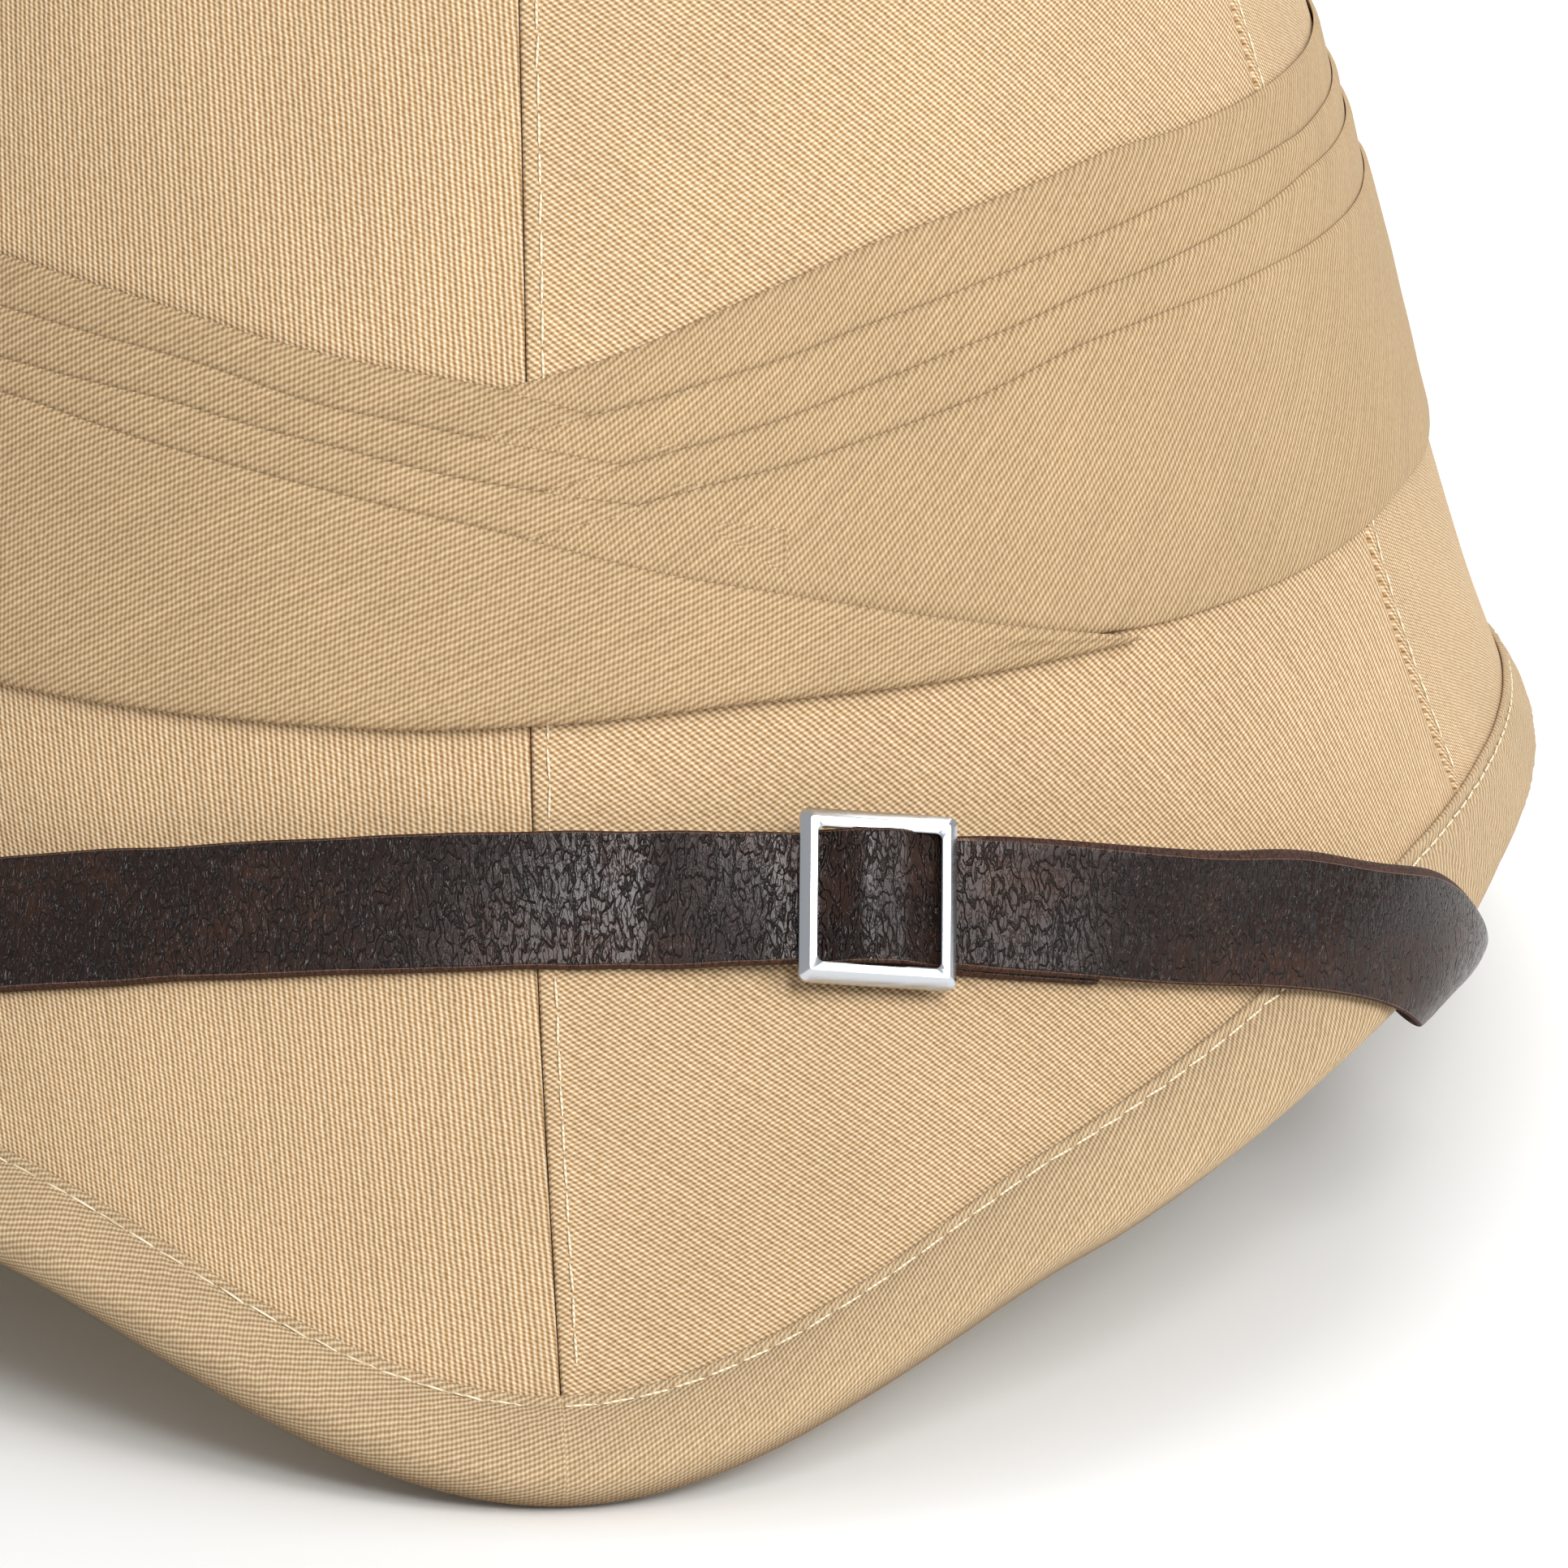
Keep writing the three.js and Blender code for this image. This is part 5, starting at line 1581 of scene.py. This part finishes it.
    def flat_point(self, length: Array, across: Array, lift: Array) -> Array:
        """Points of the strap as it would lie flat on the brim."""
        length, across, lift = np.broadcast_arrays(*(np.asarray(v, float) for v in (length, across, lift)))
        angle = np.interp(length, self.walked, self.walk_angles)
        turn, climb = self.step_across(angle)
        wrap = self.route(angle)
        end = float(self.route(np.array(self.anchor_angle)))
        share = np.clip((wrap + self.quarter) / (end + self.quarter), 0, 1)
        hidden = self.slack * np.sin(math.pi * share) ** 2
        return self.rim_point(angle + turn * across, wrap + climb * across, lift + hidden)

    def thread_lift(self, length: Array) -> Array:
        """Lift of the strap as it threads the buckle, eased at its bends."""
        along = (length - self.buckle_at) / self.buckle_length
        tail = (self.tail_end - self.buckle_at) / self.buckle_length
        places = [-1.4, -0.62, -0.36, -0.12, 0.12, 0.36, 0.62, tail, tail + self.thread_ease]
        level = [self.levels[i] for i in (0, 1, 1, 2, 2, 1, 1, 1, 0)]
        dense = np.linspace(-3, 4, 1401)
        rough = np.interp(dense, places, level)
        kernel = np.exp(-((np.arange(-12, 13) / 7.0) ** 2) / 2)
        smooth = np.convolve(np.pad(rough, 12, "edge"), kernel / kernel.sum(), "valid")
        return np.interp(along, dense, smooth)

    def axes(self, length: float, lift: float) -> Matrix:
        """Axes at a place on the strap, in the frame and in metres: along, across and out.

        Args:
            length: Distance along the strap.
            lift: Height of the origin over what the strap lies on.

        Returns:
            The matrix that puts a piece there.
        """
        foot, after, before = (self.point(length + step, 0.0, lift) for step in (0.0, 1.0, -1.0))
        along = unit(after - before)
        across = self.point(length, self.width / 2, lift) - self.point(length, -self.width / 2, lift)
        out = unit(np.cross(along, across))
        matrix = np.eye(4)
        matrix[:3, 0], matrix[:3, 1], matrix[:3, 2] = along, np.cross(out, along), out
        matrix[:3, 3] = (foot + self.form.origin) * MM
        return Matrix(matrix.tolist())


@dataclass
class ChinStrap:
    """Leather strap from stud to stud, its folded tail, its buckle and its studs."""

    line: StrapLine
    station: float = 0.9
    tension: int = 60
    rim_lift: float = 0.5
    tail_shift: float = 0.5
    end_bar: float = 1.85
    side_bar: float = 1.6
    opening: float = 12.9
    frame_drop: float = 0.25
    frame_turn: float = math.radians(-2.5)
    frame_thickness: float = 1.5
    top_bevel: tuple[tuple[float, float], ...] = (
        (-90, 0), (15, 0), (27, 0.2), (38, 0.5), (45, 0.78), (56, 0.78), (66, 0), (90, 0),
    )  # fmt: skip
    stud_radius: float = 1.8
    head_radius: float = 4.6
    head_height: float = 1.3

    def ribbon(self, name: str, start: float, end: float, lift: Array, shift: Array) -> bpy.types.Object:
        """Cuts a length of strap.

        Args:
            name: Name of the piece.
            start: Where it starts along the route.
            end: Where it ends.
            lift: Its lift at each station.
            shift: Its sideways shift at each station.

        Returns:
            The strap, closed at its ends.
        """
        line = self.line
        half, thick, round_off = line.width / 2, line.leather, 0.34
        turns = np.radians([8, 30, 55, 80])
        side = half - round_off * (1 - np.cos(turns))
        high = thick - round_off * (1 - np.sin(turns))
        flat = np.array([0.45, 0.9, 1.15, 1.3, *np.linspace(1.8, 2 * half - 1.3, 10), 2 * half - 0.8, 2 * half - 0.5])
        flat = half - flat
        across = [*side, *flat, *-side[::-1], *-side, *-flat, *side[::-1]]
        height = [*high, *np.full(16, thick), *high[::-1], *(thick - high), *np.zeros(16), *(thick - high[::-1])]
        raw = np.array([*[1.0] * 3, *[0.0] * 18, *[1.0] * 6, *[0.35] * 18, *[1.0] * 3])
        length = np.linspace(start, end, len(lift))
        edge = 0.1 * ripple(length, 0 * length, 9.0, 51)
        wander = 0.05 * ripple(length, 0 * length, 30.0, 53)
        across = np.broadcast_to(across, (len(length), len(across)))
        height = np.broadcast_to(height, across.shape)
        away = np.abs(length - line.buckle_at)[:, None]
        turned = np.interp(length, line.walked, line.walk_angles)
        bevel = line.read(self.top_bevel, turned)[:, None]
        height = height - bevel * np.clip((across - half + 1.2) / 1.1, 0, 1) * (height > thick / 2)
        cut_face = smoothstep(across, half - 1.15, half - 0.95) * smoothstep(bevel, 0.04, 0.12)
        from_top = half - across
        narrowed = half - 0.3 - (from_top - 0.3) * (0.25 + 0.75 * np.clip(bevel / 0.78, 0, 1))
        across = np.where((from_top > 0.3) & (from_top < 1.35), narrowed, across)
        squeeze = 0.06 * (1 - smoothstep(away, 5.0, 7.5)) - 0.02 * (1 - smoothstep(away, 7.0, 12.0))
        across = across * (1 + squeeze)
        over_rim = smoothstep(np.abs(turned), 28, 44) * (1 - smoothstep(np.abs(turned), 54, 66))
        lift = lift + self.rim_lift * over_rim
        crown = 0.1 * (1 - (across / half) ** 2) * (height > thick * 0.7)
        placed = across * (1 + edge[:, None] / half) + shift[:, None]
        points = line.point(length[:, None], placed, lift[:, None] + height + crown + wander[:, None])
        taut = 0.25 * smoothstep(np.abs(turned), 19, 28) * (1 - smoothstep(np.abs(turned), 62, 72))
        for _ in range(self.tension):
            points[1:-1] += taut[1:-1, None, None] * (points[:-2] - 2 * points[1:-1] + points[2:])
        grain = np.concatenate([across, across[:, :1]], 1) + 20 * (np.arange(across.shape[1] + 1) > 26)
        cloth = np.stack([np.broadcast_to(length[:, None], grain.shape), grain], -1)
        piece = grid_piece(name, points, cloth, (False, True))
        mark = piece.data.attributes.new("raw_edge", "FLOAT", "POINT")
        bare = np.maximum(raw, cut_face)
        mark.data.foreach_set("value", bare.ravel().astype(np.float32))
        close_ends(piece)
        face_outwards(piece)
        return piece

    def strap(self) -> bpy.types.Object:
        """The strap itself."""
        line = self.line
        count = int(line.length / self.station)
        length = np.linspace(0, line.length, count)
        return self.ribbon("strap_leather_loop", 0.0, line.length, line.thread_lift(length), np.zeros(count))

    def tail(self) -> bpy.types.Object:
        """The folded end that lies under the strap beside the buckle."""
        line = self.line
        start = line.buckle_at - 1.6
        count = int((line.tail_end - start) / self.station)
        lift, shift = np.full(count, line.rest), -self.tail_shift * np.linspace(0, 1, count)
        return self.ribbon("strap_leather_tail", start, line.tail_end, lift, shift)

    def frame_ring(self) -> bpy.types.Object:
        """Presses the frame: a wide bevel outside and a narrow one inside a sharp ridge, hollow underneath."""
        line, thick = self.line, self.frame_thickness
        loops = [
            (0.06, 0.0, 0.8), (0.0, 0.12, 0.9), (0.0, 0.6, 0.9), (0.03, 0.67, 0.88), (0.48, thick - 0.04, 0.35),
            (0.52, thick, 0.3), (0.57, thick - 0.01, 0.3), (0.93, thick - 0.1, 0.6), (1.0, thick - 0.2, 0.6),
            (0.98, thick - 0.4, 0.6), (0.7, thick - 0.7, 0.4), (0.66, 0.0, 0.4),
        ]  # fmt: skip
        turns = np.radians(np.linspace(0, 90, 7))
        rows = []
        for share, height, radius in loops:
            long = line.buckle_length / 2 - share * self.side_bar - radius
            wide = self.opening / 2 + (1 - share) * self.end_bar - radius
            row = []
            for quarter, (way, up) in enumerate(((1, 1), (-1, 1), (-1, -1), (1, -1))):
                turn = turns + quarter * math.pi / 2
                row += zip(way * long + radius * np.cos(turn), up * wide + radius * np.sin(turn))
            rows.append([(x, y, line.frame_bottom + height) for x, y in row])
        points = np.array(rows)
        cloth = np.zeros((points.shape[0] + 1, points.shape[1] + 1, 2))
        piece = grid_piece("frame_ring", points - line.form.origin, cloth, (True, True))
        face_outwards(piece)
        return piece

    def buckle(self) -> bpy.types.Object:
        """Joins the frame, the bar across it and the legs that hold the bar."""
        line = self.line
        parts = [self.frame_ring()]
        low = line.levels[1]
        height = line.frame_bottom + self.frame_thickness * 0.4 - low
        for side in (-1, 1):
            place = (0, side * (self.opening / 2 + 0.95), low + height / 2)
            parts.append(self.bar((line.buckle_length - 3.4, 0.9, height), place))
        parts.append(self.bar((1.6, self.opening + 1.7, line.bar), (0, 0, low + line.bar / 2)))
        joined = join("buckle_frame", parts)
        joined.data.transform(Matrix.Rotation(self.frame_turn, 4, "Z"))
        joined.data.transform(Matrix.Translation((0, -self.frame_drop * MM, 0)))
        joined.data.transform(line.axes(line.buckle_at, 0.0))
        activate(joined)
        bpy.ops.object.shade_smooth_by_angle(angle=math.radians(28))
        return joined

    def bar(self, size: tuple[float, float, float], place: tuple[float, float, float]) -> bpy.types.Object:
        """Makes a small rounded bar.

        Args:
            size: Its sizes in millimetres.
            place: Its middle in millimetres.

        Returns:
            The bar.
        """
        deselect()
        bpy.ops.mesh.primitive_cube_add(size=1.0)
        piece = bpy.context.object
        bpy.ops.object.mode_set(mode="EDIT")
        bpy.ops.mesh.select_all(action="SELECT")
        bpy.ops.transform.resize(value=tuple(v * MM for v in size))
        bpy.ops.mesh.select_mode(type="EDGE")
        bpy.ops.mesh.select_all(action="SELECT")
        bpy.ops.mesh.bevel(offset=min(size) * 0.25 * MM, segments=2)
        bpy.ops.object.mode_set(mode="OBJECT")
        piece.data.transform(Matrix.Translation([v * MM for v in place]))
        return piece

    def stud(self, side: int, name: str) -> bpy.types.Object:
        """Makes the stud that holds one end of the strap.

        Args:
            side: 1 on the wearer's left, -1 on the right.
            name: Name of the piece.

        Returns:
            The stud.
        """
        low, high = (Vector(corner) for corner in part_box(name))
        line = self.line
        place = line.length - line.width / 2 if side > 0 else line.width / 2
        axes = line.axes(place, line.rest + line.leather)
        deselect()
        bpy.ops.mesh.primitive_cylinder_add(vertices=40, radius=self.head_radius * MM, depth=self.head_height * MM)
        head = bpy.context.object
        bpy.ops.object.mode_set(mode="EDIT")
        mesh = bmesh.from_edit_mesh(head.data)
        bpy.ops.mesh.select_all(action="DESELECT")
        bpy.ops.mesh.select_mode(type="FACE")
        for face in mesh.faces:
            face.select = face.normal.z > 0.9
        bmesh.update_edit_mesh(head.data)
        bpy.ops.mesh.inset(thickness=self.head_radius * 0.45 * MM)
        bpy.ops.object.mode_set(mode="OBJECT")
        soften = head.modifiers.new("rounded_head", "BEVEL")
        soften.width, soften.segments, soften.limit_method = 0.45 * MM, 3, "ANGLE"
        bpy.ops.object.modifier_apply(modifier=soften.name)
        head.data.transform(Matrix.Translation((0, 0, (0.5 + self.head_height / 2) * MM)))
        deselect()
        bpy.ops.mesh.primitive_cylinder_add(vertices=32, radius=self.stud_radius * MM, depth=4.6 * MM)
        stem = bpy.context.object
        stem.data.transform(Matrix.Translation((0, 0, -1.8 * MM)))
        piece = join(name + "_polished", [head, stem])
        piece.data.transform(axes)
        middle = (low + high) / 2
        centre = sum((vertex.co for vertex in piece.data.vertices), Vector()) / len(piece.data.vertices)
        LOG.info("%s stands %.2f mm from its node's middle", name, (centre - middle).length / MM)
        activate(piece)
        bpy.ops.object.shade_smooth_by_angle(angle=math.radians(35))
        return piece

    def build(self) -> list[bpy.types.Object]:
        """Builds and dresses the strap's pieces."""
        leather = StrapLeather().material()
        bright = PressedMetal("aluminium_pressed", "#ced2d8", 0.22).material()
        nickel = PressedMetal("steel_nickelled", "#b4b2ad", 0.32).material()
        return [
            dress(self.strap(), leather, "strap_leather", "chin_strap"),
            dress(self.tail(), leather, "strap_leather", "strap_tail"),
            dress(self.buckle(), bright, "buckle_metal", "buckle"),
            dress(self.stud(1, "strap_stud_left"), nickel, "stud_metal", "strap_stud_left"),
            dress(self.stud(-1, "strap_stud_right"), nickel, "stud_metal", "strap_stud_right"),
        ]


@dataclass
class VentilatorButton:
    """Cloth-covered button in the hole at the crown's top."""

    form: HatForm
    radius: float = 21.0
    flat: float = 7.0
    rim: float = 2.4
    stem: float = 7.4
    stem_length: float = 9.0
    weave_turn: float = math.radians(38)
    sides: int = 144

    def profile(self) -> list[tuple[float, float]]:
        """Outline from the foot of the stem up to the middle of the top: radius and height."""
        form = self.form
        rest = form.crown_height + form.gap
        shoulder = float(form.crown_point(np.array([90.0]), np.array([form.place_from_radius(self.radius)]))[0, 2])
        low = shoulder + form.gap
        top = rest + form.button_height
        rounded = ((1.2, 0.0), (0.35, 0.3), (0.0, 1.2), (0.3, 2.0))
        rim = [(self.radius - inward, low + up) for inward, up in rounded]
        dome = []
        for share in np.linspace(0.06, 1, 12):
            out = self.radius - 0.5 - (self.radius - 0.5 - self.flat) * share
            dome.append((out, low + self.rim + (top - low - self.rim) * math.sin(share * math.pi / 2) ** 1.15))
        base = [(0.0, rest - self.stem_length), (self.stem, rest - self.stem_length), (self.stem, rest)]
        return [*base, ((self.stem + self.radius) / 2, rest), *rim, *dome, (self.flat * 0.5, top), (0.0, top)]

    def build(self) -> bpy.types.Object:
        """Turns, gathers and dresses the button."""
        outline = self.profile()
        mesh = bpy.data.meshes.new("ventilator_cloth")
        mesh.from_pydata([(x * MM, 0, z * MM) for x, z in outline], [(i, i + 1) for i in range(len(outline) - 1)], [])
        piece = bpy.data.objects.new("ventilator_cloth", mesh)
        bpy.context.scene.collection.objects.link(piece)
        activate(piece)
        bpy.ops.object.mode_set(mode="EDIT")
        bpy.ops.mesh.select_all(action="SELECT")
        bpy.ops.mesh.spin(steps=self.sides, angle=2 * math.pi, center=(0, 0, 0), axis=(0, 0, 1))
        bpy.ops.mesh.select_all(action="SELECT")
        bpy.ops.mesh.remove_doubles(threshold=1e-6)
        bpy.ops.mesh.normals_make_consistent(inside=False)
        bpy.ops.object.mode_set(mode="OBJECT")
        points = np.array([vertex.co for vertex in mesh.vertices]) / MM
        away = np.hypot(points[:, 0], points[:, 1])
        turn = np.arctan2(points[:, 1], points[:, 0])
        gather = 0.12 * smoothstep(away, 11.0, 19.5) * np.cos(24 * turn + 0.7 * np.sin(3 * turn))
        top = self.form.crown_height + self.form.gap + self.form.button_height
        points[:, 2] += np.where((points[:, 2] > top - 7.4) & (points[:, 2] < top - 0.3), gather - 0.12, 0.0)
        placed = (points + self.form.origin) * MM
        mesh.vertices.foreach_set("co", placed.ravel().astype(np.float32))
        layer = mesh.uv_layers.new(name="cloth")
        corners = np.zeros(len(mesh.loops), int)
        mesh.loops.foreach_get("vertex_index", corners)
        cosine, sine = math.cos(self.weave_turn), math.sin(self.weave_turn)
        x, y = points[:, 0], points[:, 1]
        flat = np.stack([x * cosine + y * sine, -x * sine + y * cosine], -1)
        layer.data.foreach_set("uv", (flat[corners] * MM).ravel().astype(np.float32))
        mesh.update()
        bpy.ops.object.shade_smooth_by_angle(angle=math.radians(40))
        # Gap colour here is painted shade, the float colour a painted highlight.
        finish = CottonDrill(
            name="cotton_drill_button",
            gap_shade_colour="#8d6e43",
            thread_colour="#bea073",
            float_highlight_colour="#d8c29c",
        )
        return dress(piece, finish.material(), "button_drill", "ventilator")


@dataclass
class Studio:
    """Camera at the photograph's angle, pale floor and soft light."""

    form: HatForm
    azimuth: float = math.radians(-5.82)
    elevation: float = math.radians(16.57)
    roll: float = math.radians(0.95)
    distance: float = 907.4
    scale: float = 12.97
    image: float = 1932.0
    sensor: float = 36.0
    target: tuple[float, float, float] = (25.26, -100.0, -11.84)
    lit_height: float = 0.09
    floor_size: float = 24.0
    world_light: float = 0.48

    def camera(self) -> None:
        """Places the camera."""
        az, el = self.azimuth, self.elevation
        back = Vector((math.sin(az) * math.cos(el), -math.cos(az) * math.cos(el), math.sin(el)))
        right = (-back).cross(Vector((0, 0, 1))).normalized()
        above = right.cross(-back)
        across = right * math.cos(self.roll) + above * math.sin(self.roll)
        upward = above * math.cos(self.roll) - right * math.sin(self.roll)
        data = bpy.data.cameras.new("photo_camera")
        data.sensor_width = self.sensor
        data.lens = self.sensor * self.scale * self.distance / self.image
        data.clip_start, data.clip_end = 0.05, 60.0
        piece = bpy.data.objects.new("photo_camera", data)
        matrix = Matrix.Identity(4)
        for row in range(3):
            matrix[row][0], matrix[row][1], matrix[row][2] = across[row], upward[row], back[row]
            matrix[row][3] = (self.target[row] + self.form.origin[row] + back[row] * self.distance) * MM
        piece.matrix_world = matrix
        bpy.context.scene.collection.objects.link(piece)
        bpy.context.scene.camera = piece

    def lamp(self, name: str, place: tuple[float, float, float], size: float, power: float) -> None:
        """Hangs a soft light that faces the hat.

        Args:
            name: Name of the light.
            place: Where it hangs, in metres.
            size: Its side, in metres.
            power: Its power, in watts.
        """
        data = bpy.data.lights.new(name, "AREA")
        data.shape, data.size, data.energy = "SQUARE", size, power
        piece = bpy.data.objects.new(name, data)
        piece.location = place
        piece.rotation_euler = (Vector((0, 0, self.lit_height)) - Vector(place)).to_track_quat("-Z", "Y").to_euler()
        bpy.context.scene.collection.objects.link(piece)

    def build(self) -> None:
        """Sets up the studio."""
        self.camera()
        deselect()
        bpy.ops.mesh.primitive_grid_add(x_subdivisions=8, y_subdivisions=8, size=self.floor_size)
        floor = bpy.context.object
        floor.name = "studio_floor"
        floor.data.materials.append(MattPaint().material())
        self.lamp("key_light", (2.0, -2.0, 1.5), 1.3, 32.0)
        self.lamp("upper_light", (0.44, -1.36, 1.53), 0.65, 10.0)
        self.lamp("sheen_light", (0.47, -1.8, 1.13), 0.42, 13.5)
        self.lamp("back_light", (0.6, 1.9, 1.8), 1.6, 35.0)
        world = bpy.data.worlds.new("studio_world")
        world.use_nodes = True
        world.node_tree.nodes["Background"].inputs[0].default_value = linear("#ffffff")
        world.node_tree.nodes["Background"].inputs[1].default_value = self.world_light
        scene = bpy.context.scene
        scene.world = world
        scene.view_settings.view_transform = "Standard"


def main() -> None:
    """Builds every piece in order."""
    logging.basicConfig(level=logging.INFO, format="%(message)s")
    form = HatForm()
    Studio(form).build()
    PithBody(form).build()
    panels = CoverPanels(form)
    panels.build()
    binding = BrimBinding(form)
    binding.build()
    Puggaree(form).build()
    Stitching(form, panels, binding).build()
    ChinStrap(StrapLine(form)).build()
    VentilatorButton(form).build()


if __name__ == "__main__":
    main()
